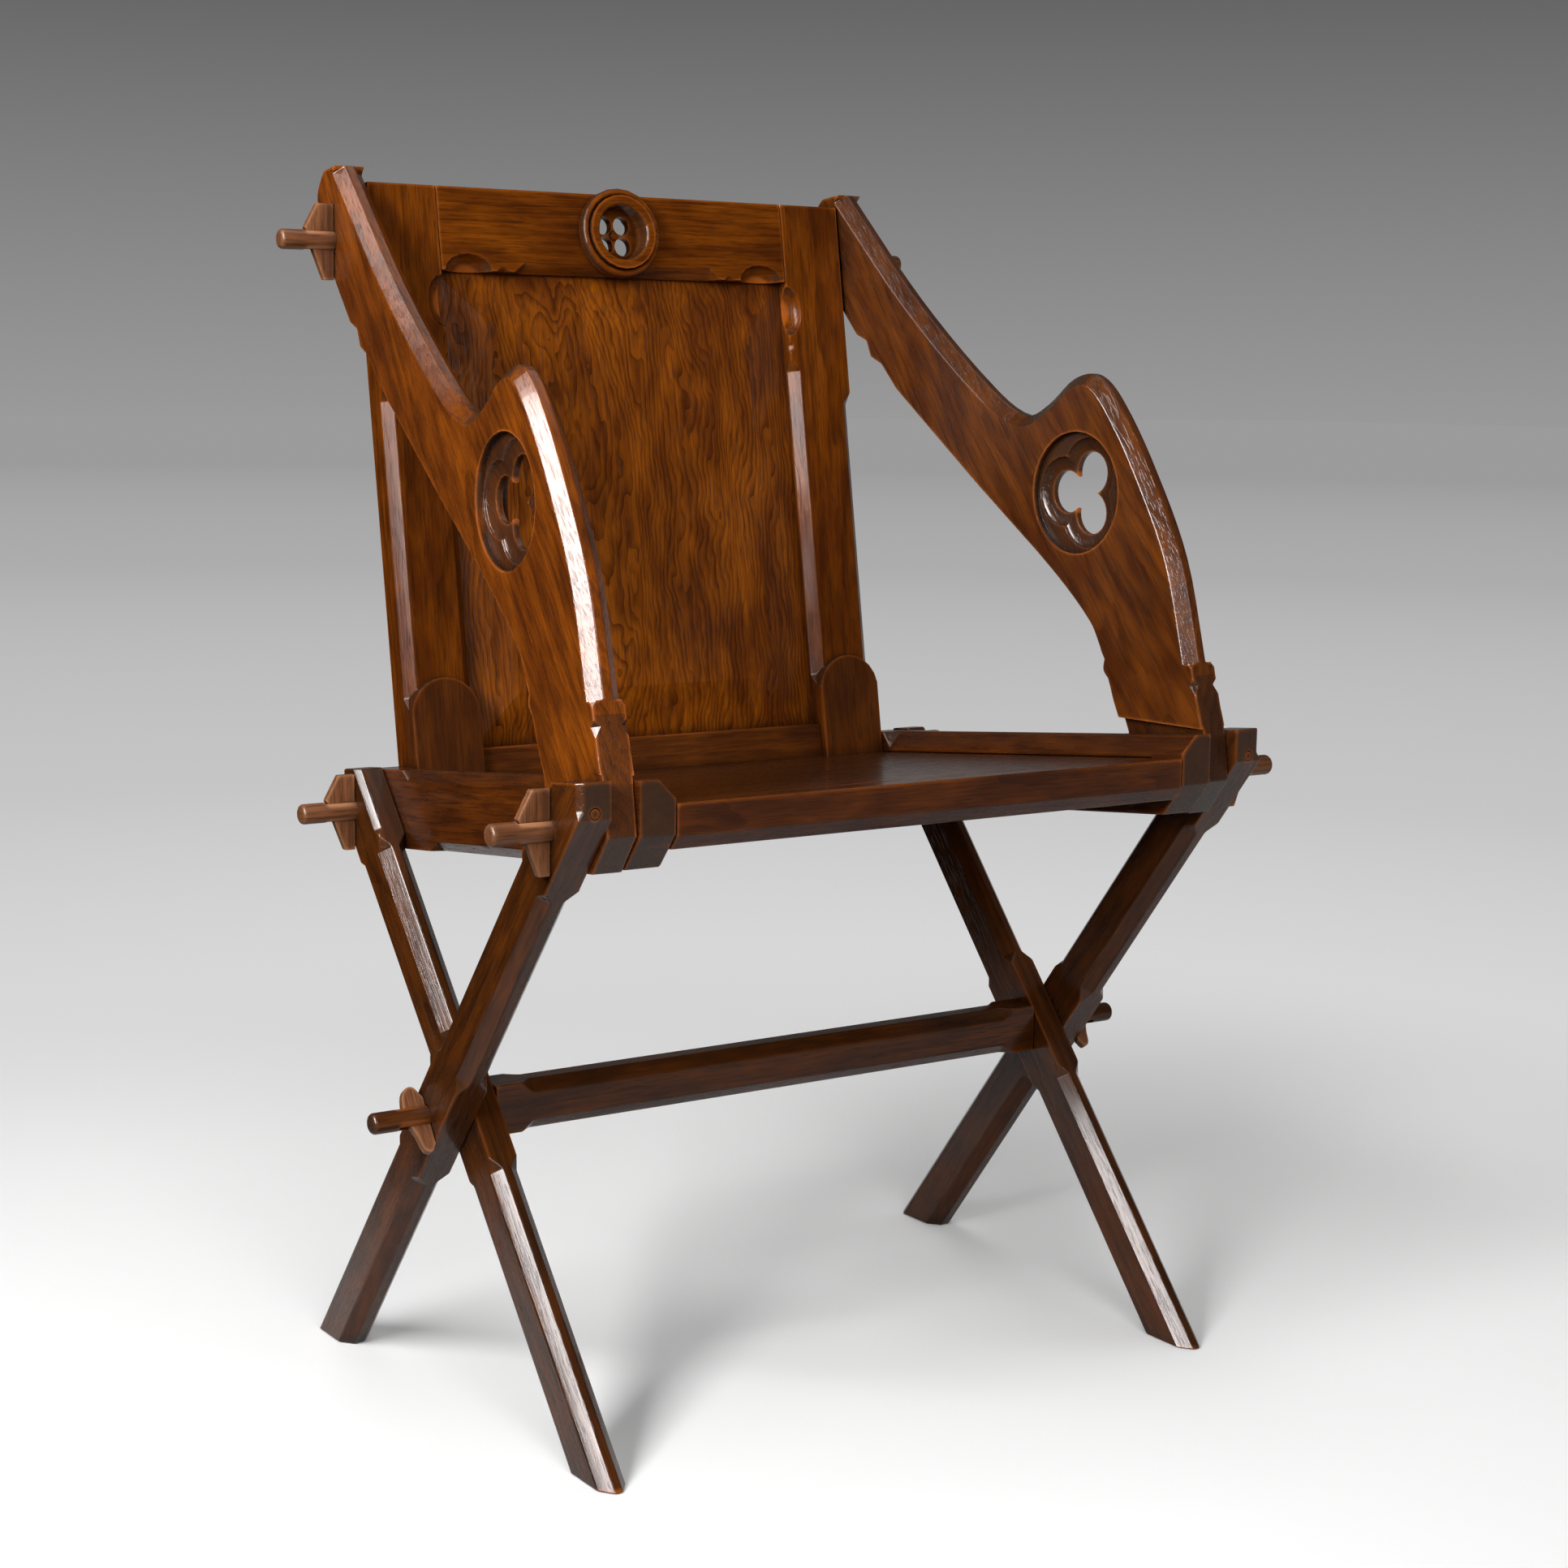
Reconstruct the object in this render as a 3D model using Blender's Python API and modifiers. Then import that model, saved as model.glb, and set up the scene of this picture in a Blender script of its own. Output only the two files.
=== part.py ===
"""Oak armchair of the Glastonbury pattern: X-frame legs, shaped arms, panelled back.

The chair knocks down. Round pins pass through the seat rails, legs, arms and back, and a
loose tapered key through each pin holds the layers together. Units are metres, +Z is up,
the sitter faces -Y, and the floor is at Z = 0.
"""
import math

import bmesh
import bpy
from mathutils import Matrix, Vector
from mathutils.geometry import interpolate_bezier

# Fits
CLEAR = 0.0003              # gap between pieces that touch
PAST = 0.010                # how far a cutter runs out past a face
TENON_ROOT = 0.004          # how far a tenon runs back into its own rail

# Seat frame, laid out from the front top edge of the side rails
SEAT_HALF_WIDTH = 0.241     # centre line to the outer face of a side rail
SEAT_FRONT = -0.2397        # Y of the front faces
SEAT_TOP = 0.4685           # Z of the side rail tops at the front
SEAT_SLOPE = math.radians(6.1)
RAIL_TAIL = 0.0175          # side rail behind its rear pin
SIDE_RAIL_HEIGHT = 0.058
SIDE_RAIL_THICK = 0.027
SIDE_RAIL_NOSE = 0.036      # height of the front end above its undercut
SIDE_RAIL_UNDERCUT = 0.026  # how far the undercut runs back
LIP_CHAMFER = 0.013         # hollow side of the lip along the seat
RAIL_CHAMFER = 0.0075
BOARD_DROP = 0.0165         # seat surface below the side rail tops
BOARD_THICK = 0.016
BOARD_HOUSING = 0.006       # depth of the grooves that hold the board
FRONT_RAIL_DEPTH = 0.036
FRONT_RAIL_HEIGHT = 0.030
FRONT_RAIL_BEVEL = 0.009
REAR_RAIL_DEPTH = 0.030
SEAT_TENON = 0.018
SEAT_TENON_THICK = 0.010

# Pins and keys
PIN_RADIUS = 0.0075
PIN_DOME = 0.003
PIN_STANDOUT = 0.043        # length of a pin beyond the outermost layer
PIN_FLOOR = 0.003           # wood between a pin's inner end and the joint behind it
FRONT_PIN_BACK = 0.0375     # front pin behind the seat front, along the rail
REAR_PIN_IN = 0.0035        # rear pin behind the back's front face, along the rail
KEY_THICK = 0.006
KEY_RISE = 0.027            # key above the pin axis
KEY_DROP = 0.029            # key below the pin axis
KEY_WIDE = 0.023
KEY_HEAD = 0.013
KEY_FOOT = 0.008
LEAF_WIDE = 0.017
LEAF_RISE = 0.022
LEAF_DROP = 0.027
STRETCHER_KEY_TILT = math.radians(35)

# Legs
LAYER = 0.0215              # thickness of the rear legs, and of the arm feet
FRONT_LEG_THICK = 0.0245
LEG_WIDTH = 0.039
FRONT_LEG_LEAD = 0.004      # front leg centre line ahead of its seat pin
REAR_LEG_LEAD = 0.005       # rear leg centre line ahead of its seat pin
CROSS_Y = -0.0327
CROSS_Z = 0.210
CROSS_BLOCK = 0.046         # plain length each side of the crossing
LEG_CHAMFER = 0.008
LEG_BACK_CHAMFER = 0.0045
LEG_HEAD_CHAMFER = 0.0045
HEAD_BLOCK = 0.036          # plain length of a leg below its seat pin
LEG_HEAD_PROUD = 0.003      # front leg heads ahead of the seat front
HEAD_OVER_RAIL = 0.0015     # leg heads above the rail tops
REAR_HEAD_BACK = 0.016      # rear leg heads behind their pins
STRETCHER_HEIGHT = 0.036
STRETCHER_DEPTH = 0.030
STRETCHER_CHAMFER = 0.008
STRETCHER_BLOCK = 0.020     # plain length at the stretcher's ends
PEG_RADIUS = 0.0035
PEG_LENGTH = 0.022

# Back, laid out down its front face from its top edge
BACK_TOP_Y = 0.2063
BACK_TOP_Z = 0.860
BACK_RAKE = math.radians(9.4)
BACK_SIDE_GAP = 0.0005      # stiles inside the side rails
BACK_THICK = 0.025
STILE_WIDTH = 0.0565
STILE_LENGTH = 0.482
STILE_BLOCK_PROUD = 0.007   # arched blocks ahead of the stiles
STILE_BLOCK_TOP = 0.372     # crown of the arch below the top edge
ARCH_RISE = 0.024
TOP_RAIL_HEIGHT = 0.064
PANEL_OPENING = 0.363
BOTTOM_RAIL_HEIGHT = 0.040
BACK_TENON = 0.030
BACK_TENON_THICK = 0.009
TENON_SHOULDER = 0.009
PANEL_TONGUE = 0.007        # panel inside the frame's grooves
PANEL_THICK = 0.008
PANEL_SET = 0.011           # panel face behind the frame face
FIELD_MARGIN = 0.040
FIELD_RISE = 0.007
BACK_CHAMFER = 0.008
LOBE_HALF_LENGTH = 0.020
LOBE_WIDTH = 0.013
LOBE_DEPTH = 0.009
BEAD_LENGTH = 0.012
BEAD_SIZE = 0.0035
TOP_PIN_DOWN = 0.043        # top pins below the back's top edge

# Crest roundel
ROUNDEL_RADIUS = 0.035
ROUNDEL_PROUD = 0.011
ROUNDEL_DOWN = 0.031
ROUNDEL_BEAD = 0.003        # bead round the rim
ROUNDEL_WELL = 0.0215       # radius of the sunk middle
ROUNDEL_WALL = 0.003        # wall of the spigot round it
ROUNDEL_SUNK = 0.007        # pierced web behind the rail's face
ROUNDEL_WEB = 0.007
FOIL_RADIUS = 0.0072
FOIL_OFFSET = 0.0082
BOSS_RADIUS = 0.0040

# Arms, laid out in their own plane: distance towards the back, and height
ARM_THICK = 0.024
ARM_CHAMFER = 0.0088
ARM_LAP = 0.001             # arm over the edge of the side rail, at the front
ARM_SAG = 0.0165            # hollow of the upper edge towards the back
DROP_SIZE = 0.0045          # carved drop below the front chamfer
DROP_LENGTH = 0.012
TREFOIL_BACK = -0.0897
TREFOIL_HEIGHT = 0.636
TREFOIL_RADIUS = 0.046
TREFOIL_SINK = 0.005
LOBE_OFFSET = 0.0175        # lobe centres from the trefoil's centre
LOBE_OPENING = 0.0158       # lobe radius at the middle of the arm
LOBE_FLARE = 0.0268         # lobe radius at the sunk floor
LOBE_EDGE = 0.0025          # half the thickness of the cusps
LOBE_DRAFT = 0.0004         # taper of the cusps' edges

# Sections
ROUND_STEPS = 24
OUTLINE_STEPS = 6

OAK_TONES = {
    "frame": ((0.105, 0.036, 0.012), 0.34),
    "panel": ((0.150, 0.056, 0.016), 0.32),
    "arm": ((0.120, 0.041, 0.013), 0.32),
    "leg": ((0.080, 0.027, 0.010), 0.36),
    "pin": ((0.130, 0.050, 0.020), 0.40),
}

# Directions in which a flat outline is stood up: outline U, outline V, thickness
IN_SIDE = Matrix(((0, 0, 1, 0), (1, 0, 0, 0), (0, 1, 0, 0), (0, 0, 0, 1)))
IN_FRONT = Matrix(((1, 0, 0, 0), (0, 0, -1, 0), (0, 1, 0, 0), (0, 0, 0, 1)))
IN_PLAN = Matrix.Identity(4)

WORLD = Matrix.Identity(4)
SEAT = Matrix.Translation((0, SEAT_FRONT, SEAT_TOP)) @ Matrix.Rotation(-SEAT_SLOPE, 4, "X")
BACK = Matrix.Translation((0, BACK_TOP_Y, BACK_TOP_Z)) @ Matrix.Rotation(-BACK_RAKE, 4, "X")


def back_face(level, proud):
    """Distance along the seat to the back's front face, or to a face proud of it, at a level."""
    top = SEAT.inverted() @ BACK @ Vector((0, -proud, 0))
    foot = SEAT.inverted() @ BACK @ Vector((0, -proud, -STILE_LENGTH))
    return top.y + (foot.y - top.y) * (level - top.z) / (foot.z - top.z)


RAIL_INNER = SEAT_HALF_WIDTH - SIDE_RAIL_THICK
BACK_HALF_WIDTH = RAIL_INNER - BACK_SIDE_GAP
REAR_PIN_BACK = back_face(-SIDE_RAIL_HEIGHT / 2, 0) + REAR_PIN_IN
SIDE_RAIL_LENGTH = REAR_PIN_BACK + RAIL_TAIL
REAR_LEG_INNER = SEAT_HALF_WIDTH + CLEAR
REAR_LEG_OUTER = REAR_LEG_INNER + LAYER
FRONT_LEG_INNER = REAR_LEG_OUTER + CLEAR
FRONT_LEG_OUTER = FRONT_LEG_INNER + FRONT_LEG_THICK
FRONT_PIN_START = RAIL_INNER + BOARD_HOUSING + PIN_FLOOR
STILE_INNER = BACK_HALF_WIDTH - STILE_WIDTH
BACK_PIN_START = STILE_INNER + BACK_TENON + PIN_FLOOR
PANEL_TOP = -TOP_RAIL_HEIGHT
PANEL_BOTTOM = -TOP_RAIL_HEIGHT - PANEL_OPENING

FRONT_PIN = SEAT @ Vector((0, FRONT_PIN_BACK, -SIDE_RAIL_HEIGHT / 2))
REAR_PIN = SEAT @ Vector((0, REAR_PIN_BACK, -SIDE_RAIL_HEIGHT / 2))
TOP_PIN = BACK @ Vector((0, BACK_THICK / 2, -TOP_PIN_DOWN))
CROSS_PIN = Vector((0, CROSS_Y, CROSS_Z))

# The arms leave the seat outside the side rails and close in on the narrower back.
ARM_REACH = (BACK @ Vector((0, BACK_THICK, 0))).y - SEAT_FRONT
ARM_TOE = math.atan2(SEAT_HALF_WIDTH - ARM_LAP - BACK_HALF_WIDTH, ARM_REACH)
ARM_INNER = REAR_LEG_INNER - ARM_LAP + SEAT_FRONT * math.tan(ARM_TOE)
ARM = Matrix.Translation((ARM_INNER, 0, 0)) @ Matrix.Rotation(ARM_TOE, 4, "Z")


def remove_everything():
    """Empty the scene."""
    for existing in list(bpy.data.objects):
        bpy.data.objects.remove(existing, do_unlink=True)


def collection(name):
    """Return a new collection linked to the scene."""
    made = bpy.data.collections.new(name)
    bpy.context.scene.collection.children.link(made)
    return made


def finish(piece, tone):
    """Give a piece its own oak material and keep it with the parts."""
    colour, roughness = OAK_TONES[tone]
    oak = bpy.data.materials.new(piece.name + "_oak")
    oak.use_nodes = True
    shader = oak.node_tree.nodes["Principled BSDF"]
    shader.inputs["Base Color"].default_value = (*colour, 1)
    shader.inputs["Roughness"].default_value = roughness
    shader.inputs["Metallic"].default_value = 0
    piece.data.materials.clear()
    piece.data.materials.append(oak)
    piece.data.shade_smooth()
    piece.data.set_sharp_from_angle(angle=math.radians(28))
    return piece


def mesh_object(name, mesh, matrix):
    """Link a mesh as an object of the chair."""
    made = bpy.data.objects.new(name, mesh)
    made.matrix_world = matrix
    PARTS.objects.link(made)
    return made


def as_cutter(piece):
    """Move a piece from the parts to the cutters."""
    PARTS.objects.unlink(piece)
    CUTTERS.objects.link(piece)
    piece.hide_render = True
    piece.display_type = "WIRE"
    return piece


def evaluated_mesh(piece):
    """Return a welded mesh of a piece with its modifiers applied."""
    bpy.context.view_layer.update()
    depsgraph = bpy.context.evaluated_depsgraph_get()
    mesh = bpy.data.meshes.new_from_object(piece.evaluated_get(depsgraph))
    shape = bmesh.new()
    shape.from_mesh(mesh)
    bmesh.ops.remove_doubles(shape, verts=shape.verts, dist=1e-6)
    shape.to_mesh(mesh)
    shape.free()
    return mesh


def box(name, low, high, frame):
    """Make a box from two corners given in a frame."""
    low, high = Vector(low), Vector(high)
    shape = bmesh.new()
    bmesh.ops.create_cube(shape, size=1)
    bmesh.ops.scale(shape, vec=high - low, verts=shape.verts)
    mesh = bpy.data.meshes.new(name)
    shape.to_mesh(mesh)
    shape.free()
    return mesh_object(name, mesh, frame @ Matrix.Translation((low + high) / 2))


def rod(name, start, end, radius, frame, steps=ROUND_STEPS):
    """Make a round rod between two points given in a frame."""
    start, end = Vector(start), Vector(end)
    shape = bmesh.new()
    bmesh.ops.create_cone(shape, cap_ends=True, segments=steps, radius1=radius,
                          radius2=radius, depth=(end - start).length)
    mesh = bpy.data.meshes.new(name)
    shape.to_mesh(mesh)
    shape.free()
    turn = (end - start).to_track_quat("Z", "Y").to_matrix().to_4x4()
    return mesh_object(name, mesh, frame @ Matrix.Translation((start + end) / 2) @ turn)


def prism(name, outline, low, high, frame, plane):
    """Extrude a flat outline of points, or of points with a smooth flag, between two levels."""
    curve = bpy.data.curves.new(name, "CURVE")
    curve.dimensions = "2D"
    curve.fill_mode = "BOTH"
    curve.extrude = (high - low) / 2
    curve.resolution_u = OUTLINE_STEPS
    rounded = any(len(point) == 3 for point in outline)
    spline = curve.splines.new("BEZIER" if rounded else "POLY")
    spline.use_cyclic_u = True
    if rounded:
        spline.bezier_points.add(len(outline) - 1)
        for knot, point in zip(spline.bezier_points, outline):
            knot.co = (point[0], point[1], 0)
            kind = "AUTO" if point[2:] == (True,) else "VECTOR"
            knot.handle_left_type = knot.handle_right_type = kind
    else:
        spline.points.add(len(outline) - 1)
        for knot, point in zip(spline.points, outline):
            knot.co = (point[0], point[1], 0, 1)
    drawn = bpy.data.objects.new(name + "_outline", curve)
    bpy.context.scene.collection.objects.link(drawn)
    mesh = evaluated_mesh(drawn)
    bpy.data.objects.remove(drawn)
    mesh.name = name
    matrix = frame @ plane @ Matrix.Translation((0, 0, (low + high) / 2))
    return mesh_object(name, mesh, matrix)


def turned(name, profile, frame):
    """Turn a profile of radius and height, running top to bottom, about the frame's Z axis."""
    mesh = bpy.data.meshes.new(name)
    points = [(radius, 0, height) for radius, height in profile]
    mesh.from_pydata(points, [(i, i + 1) for i in range(len(points) - 1)], [])
    made = mesh_object(name, mesh, frame)
    lathe = made.modifiers.new("lathe", "SCREW")
    lathe.steps = lathe.render_steps = ROUND_STEPS
    lathe.use_merge_vertices = True
    lathe.merge_threshold = 0.00001
    return made


def combine(piece, other, operation):
    """Cut a piece with another, or join another to it, by a Boolean modifier."""
    step = piece.modifiers.new(operation.lower(), "BOOLEAN")
    step.operation = operation
    step.solver = "EXACT"
    step.object = as_cutter(other)
    return piece


def cut(piece, other):
    """Cut another shape out of a piece."""
    return combine(piece, other, "DIFFERENCE")


def join(piece, other):
    """Join another shape to a piece."""
    return combine(piece, other, "UNION")


def drill(piece, start, end, radius, frame):
    """Bore a round hole between two points given in a frame."""
    return cut(piece, rod(piece.name + "_bore", start, end, radius, frame))


def stop_chamfer(piece, start, end, along_a, along_b, size, frame, stop_a=1.2, stop_b=1.2):
    """Plane a 45 degree chamfer along an edge, with a sloping stop at each end.

    along_a and along_b run from the edge into the two faces that meet there. The cutter's
    outline is drawn along the edge and across the chamfer, so only its planed faces touch.
    """
    start, end = Vector(start), Vector(end)
    along = (end - start).normalized()
    deep = (Vector(along_a) + Vector(along_b)).normalized()
    length, floor = (end - start).length, size * math.sqrt(0.5)
    outline = [(-stop_a * size, -floor), (length + stop_b * size, -floor),
               (length - stop_b * size, floor), (stop_a * size, floor)]
    turn = Matrix((along, deep, along.cross(deep))).transposed().to_4x4()
    return cut(piece, prism(piece.name + "_chamfer", outline, -1.5 * size, 1.5 * size,
                            frame @ Matrix.Translation(start) @ turn, IN_PLAN))


def mirrored(right):
    """Copy a right-hand piece to the left of the chair."""
    mesh = evaluated_mesh(right)
    flip = Matrix.Diagonal((-1, 1, 1, 1))
    mesh.transform(flip)
    mesh.flip_normals()
    return mesh_object(right.name.replace("_right", "_left"), mesh,
                       flip @ right.matrix_world @ flip)


def pair(right, tone):
    """Finish a right-hand piece and its left-hand twin."""
    bpy.context.view_layer.update()
    finish(mirrored(right), tone)
    finish(right, tone)


def rail_top(y):
    """Height of the side rail tops at a distance back."""
    return SEAT_TOP - (y - SEAT_FRONT) * math.tan(SEAT_SLOPE)


def meet(point_a, slope_a, point_b, slope_b):
    """Cross two lines in the side view, each a point and its dy/dz."""
    z = (point_b[0] - point_a[0] + slope_a * point_a[1] - slope_b * point_b[1]) / (slope_a - slope_b)
    return (point_a[0] + slope_a * (z - point_a[1]), z)


def side_rail():
    """Seat side rail: deep rail with a raised lip, undercut in front to follow the leg."""
    outline = [(0, 0), (SIDE_RAIL_LENGTH, 0), (SIDE_RAIL_LENGTH, -SIDE_RAIL_HEIGHT),
               (SIDE_RAIL_UNDERCUT, -SIDE_RAIL_HEIGHT), (plumb(-SIDE_RAIL_NOSE), -SIDE_RAIL_NOSE)]
    rail = prism("side_rail_right", outline, RAIL_INNER, SEAT_HALF_WIDTH, SEAT, IN_SIDE)
    inward, outward = (-1, 0, 0), (1, 0, 0)
    down, up = (0, 0, -1), (0, 0, 1)
    lip_end = back_face(0, STILE_BLOCK_PROUD)
    stop_chamfer(rail, (RAIL_INNER, -2 * LIP_CHAMFER, 0), (RAIL_INNER, lip_end, 0),
                 outward, down, LIP_CHAMFER, SEAT, 1.0, 0.8)
    plain_front = FRONT_PIN_BACK + LEG_WIDTH
    plain_back = REAR_PIN_BACK - LEG_WIDTH
    stop_chamfer(rail, (SEAT_HALF_WIDTH, plain_front, 0), (SEAT_HALF_WIDTH, plain_back, 0),
                 inward, down, RAIL_CHAMFER, SEAT)
    low = -SIDE_RAIL_HEIGHT
    stop_chamfer(rail, (SEAT_HALF_WIDTH, plain_front, low),
                 (SEAT_HALF_WIDTH, plain_back - LEG_WIDTH, low), inward, up, RAIL_CHAMFER, SEAT)
    groove_low = -BOARD_DROP - BOARD_THICK - CLEAR
    cut(rail, box("board_groove", (RAIL_INNER - PAST, FRONT_RAIL_DEPTH, groove_low),
                  (RAIL_INNER + BOARD_HOUSING + CLEAR, board_end() + CLEAR, -BOARD_DROP + CLEAR),
                  SEAT))
    for low_corner, high_corner in (front_tenon(CLEAR), rear_tenon(CLEAR)):
        cut(rail, box("seat_mortise", low_corner, high_corner, SEAT))
    for pin, start in ((FRONT_PIN, FRONT_PIN_START - CLEAR), (REAR_PIN, RAIL_INNER - PAST)):
        drill(rail, (start, pin.y, pin.z), (SEAT_HALF_WIDTH + PAST, pin.y, pin.z),
              PIN_RADIUS + CLEAR, WORLD)
    pair(rail, "frame")


def board_end():
    """Rear edge of the seat board along the seat, clear of the back's bottom rail."""
    return back_face(-BOARD_DROP - BOARD_THICK, 0) - CLEAR


def plumb(level):
    """Distance along the seat that stands straight under the front edge, at a level."""
    return -level * math.tan(SEAT_SLOPE)


def front_tenon(grow):
    """Corners of the front rail's tenon at the right-hand end, grown by a fit."""
    middle = -BOARD_DROP - FRONT_RAIL_HEIGHT / 2
    back = FRONT_RAIL_DEPTH / 2 + SEAT_TENON_THICK / 2
    return ((RAIL_INNER - TENON_ROOT, back - SEAT_TENON_THICK - grow, middle - SEAT_TENON_THICK - grow),
            (RAIL_INNER + SEAT_TENON + grow, back + grow, middle + SEAT_TENON_THICK / 2 + grow))


def rear_rail_span():
    """Front and rear of the rear rail along the seat."""
    back = back_face(-SIDE_RAIL_HEIGHT, STILE_BLOCK_PROUD) - CLEAR
    return back - REAR_RAIL_DEPTH, back


def rear_tenon(grow):
    """Corners of the rear rail's tenon at the right-hand end, grown by a fit."""
    front, back = rear_rail_span()
    middle = (front + back) / 2
    top = -BOARD_DROP - BOARD_THICK - SEAT_TENON_THICK / 2
    low = -SIDE_RAIL_HEIGHT + SEAT_TENON_THICK / 2
    half = SEAT_TENON_THICK / 2
    return ((RAIL_INNER - TENON_ROOT, middle - half - grow, low - grow),
            (RAIL_INNER + SEAT_TENON + grow, middle + half + grow, top + grow))


def cross_rail(name, outline, tenon):
    """Rail across the seat, drawn in the side view, with a tenon at each end."""
    half = RAIL_INNER - CLEAR
    rail = prism(name, outline, -half, half, SEAT, IN_SIDE)
    low, high = tenon(0)
    for side in (-1, 1):
        ends = sorted((side * low[0], side * high[0]))
        join(rail, box(name + "_tenon", (ends[0], *low[1:]), (ends[1], *high[1:]), SEAT))
    finish(rail, "frame")


def seat_rails():
    """Front and rear rails of the seat."""
    top, low = -BOARD_DROP, -BOARD_DROP - FRONT_RAIL_HEIGHT
    deep = FRONT_RAIL_DEPTH - CLEAR
    bevel = low + FRONT_RAIL_BEVEL
    cross_rail("front_rail", [(plumb(top), top), (deep, top), (deep, low),
                              (plumb(bevel) + FRONT_RAIL_BEVEL, low), (plumb(bevel), bevel)],
               front_tenon)
    front, back = rear_rail_span()
    top, low = -BOARD_DROP - BOARD_THICK - CLEAR, -SIDE_RAIL_HEIGHT
    cross_rail("rear_rail", [(front, top), (back, top), (back, low), (front, low)], rear_tenon)


def seat_board():
    """Seat board, housed in the side rails and notched round the stile blocks."""
    edge = RAIL_INNER + BOARD_HOUSING
    front, back = FRONT_RAIL_DEPTH + CLEAR, board_end()
    notch_x = STILE_INNER - CLEAR
    notch_y = back_face(-BOARD_DROP - BOARD_THICK, STILE_BLOCK_PROUD) - CLEAR
    outline = [(-edge, front), (edge, front), (edge, notch_y), (notch_x, notch_y),
               (notch_x, back), (-notch_x, back), (-notch_x, notch_y), (-edge, notch_y)]
    low = -BOARD_DROP - BOARD_THICK
    finish(prism("seat_board", outline, low, -BOARD_DROP, SEAT, IN_PLAN), "panel")


def leg_frame(pin, lead):
    """Frame of a leg: origin at the crossing, Z up the leg, and its dy/dz."""
    slope = (pin.y - lead - CROSS_PIN.y) / (pin.z - CROSS_PIN.z)
    return Matrix.Translation(CROSS_PIN) @ Matrix.Rotation(-math.atan(slope), 4, "X"), slope


def leg_outline(frame, slope, head):
    """Side view of a leg: head points first, then the foot cut level with the floor."""
    half = LEG_WIDTH / 2 / math.cos(math.atan(slope))
    middle = frame.translation
    foot = middle.y - slope * middle.z
    return [*head(middle, half), (foot + half, 0), (foot - half, 0)]


def chamfer_leg(leg, frame, inner, outer, tops, foot):
    """Chamfer the shafts of a leg above and below its crossing, with stops at the blocks."""
    half = LEG_WIDTH / 2
    for edge_y, size in ((-half, LEG_CHAMFER), (half, LEG_BACK_CHAMFER)):
        inward_y = (0, 1 if edge_y < 0 else -1, 0)
        for edge_x, inward_x in ((inner, (1, 0, 0)), (outer, (-1, 0, 0))):
            stop_chamfer(leg, (edge_x, edge_y, CROSS_BLOCK), (edge_x, edge_y, tops),
                         inward_x, inward_y, size, frame)
            stop_chamfer(leg, (edge_x, edge_y, foot), (edge_x, edge_y, -CROSS_BLOCK),
                         inward_x, inward_y, size, frame)


def front_leg():
    """Leg from the front seat pin to the rear floor, outside the rear leg."""
    frame, slope = leg_frame(FRONT_PIN, FRONT_LEG_LEAD)
    face = SEAT_FRONT - LEG_HEAD_PROUD

    def head(middle, half):
        """Head points: knee under the front face, front top, rear top."""
        front_line, rear_line = (middle.y - half, middle.z), (middle.y + half, middle.z)
        top_line = (SEAT_FRONT, SEAT_TOP + HEAD_OVER_RAIL)
        knee = meet((face, 0), 0, front_line, slope)
        rear = meet(top_line, -1 / math.tan(SEAT_SLOPE), rear_line, slope)
        return [knee, (face, rail_top(face) + HEAD_OVER_RAIL), rear]

    outline = leg_outline(frame, slope, head)
    leg = prism("leg_front_right", outline, FRONT_LEG_INNER, FRONT_LEG_OUTER, WORLD, IN_SIDE)
    run = (FRONT_PIN - CROSS_PIN).length
    foot = -(frame.translation.z / math.cos(math.atan(slope)) + LEG_WIDTH)
    chamfer_leg(leg, frame, FRONT_LEG_INNER, FRONT_LEG_OUTER, run - HEAD_BLOCK, foot)
    stop_chamfer(leg, (FRONT_LEG_OUTER, face, outline[0][1]),
                 (FRONT_LEG_OUTER, face, SEAT_TOP + 4 * LEG_HEAD_CHAMFER), (-1, 0, 0), (0, 1, 0),
                 LEG_HEAD_CHAMFER, WORLD)
    for pin in (FRONT_PIN, CROSS_PIN):
        drill(leg, (FRONT_LEG_INNER - PAST, pin.y, pin.z), (FRONT_LEG_OUTER + PAST, pin.y, pin.z),
              PIN_RADIUS + CLEAR, WORLD)
    peg = peg_place()
    drill(leg, peg - Vector((0, PAST, 0)), peg + Vector((0, PEG_LENGTH + CLEAR, 0)),
          PEG_RADIUS + CLEAR, WORLD)
    pair(leg, "leg")


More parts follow.
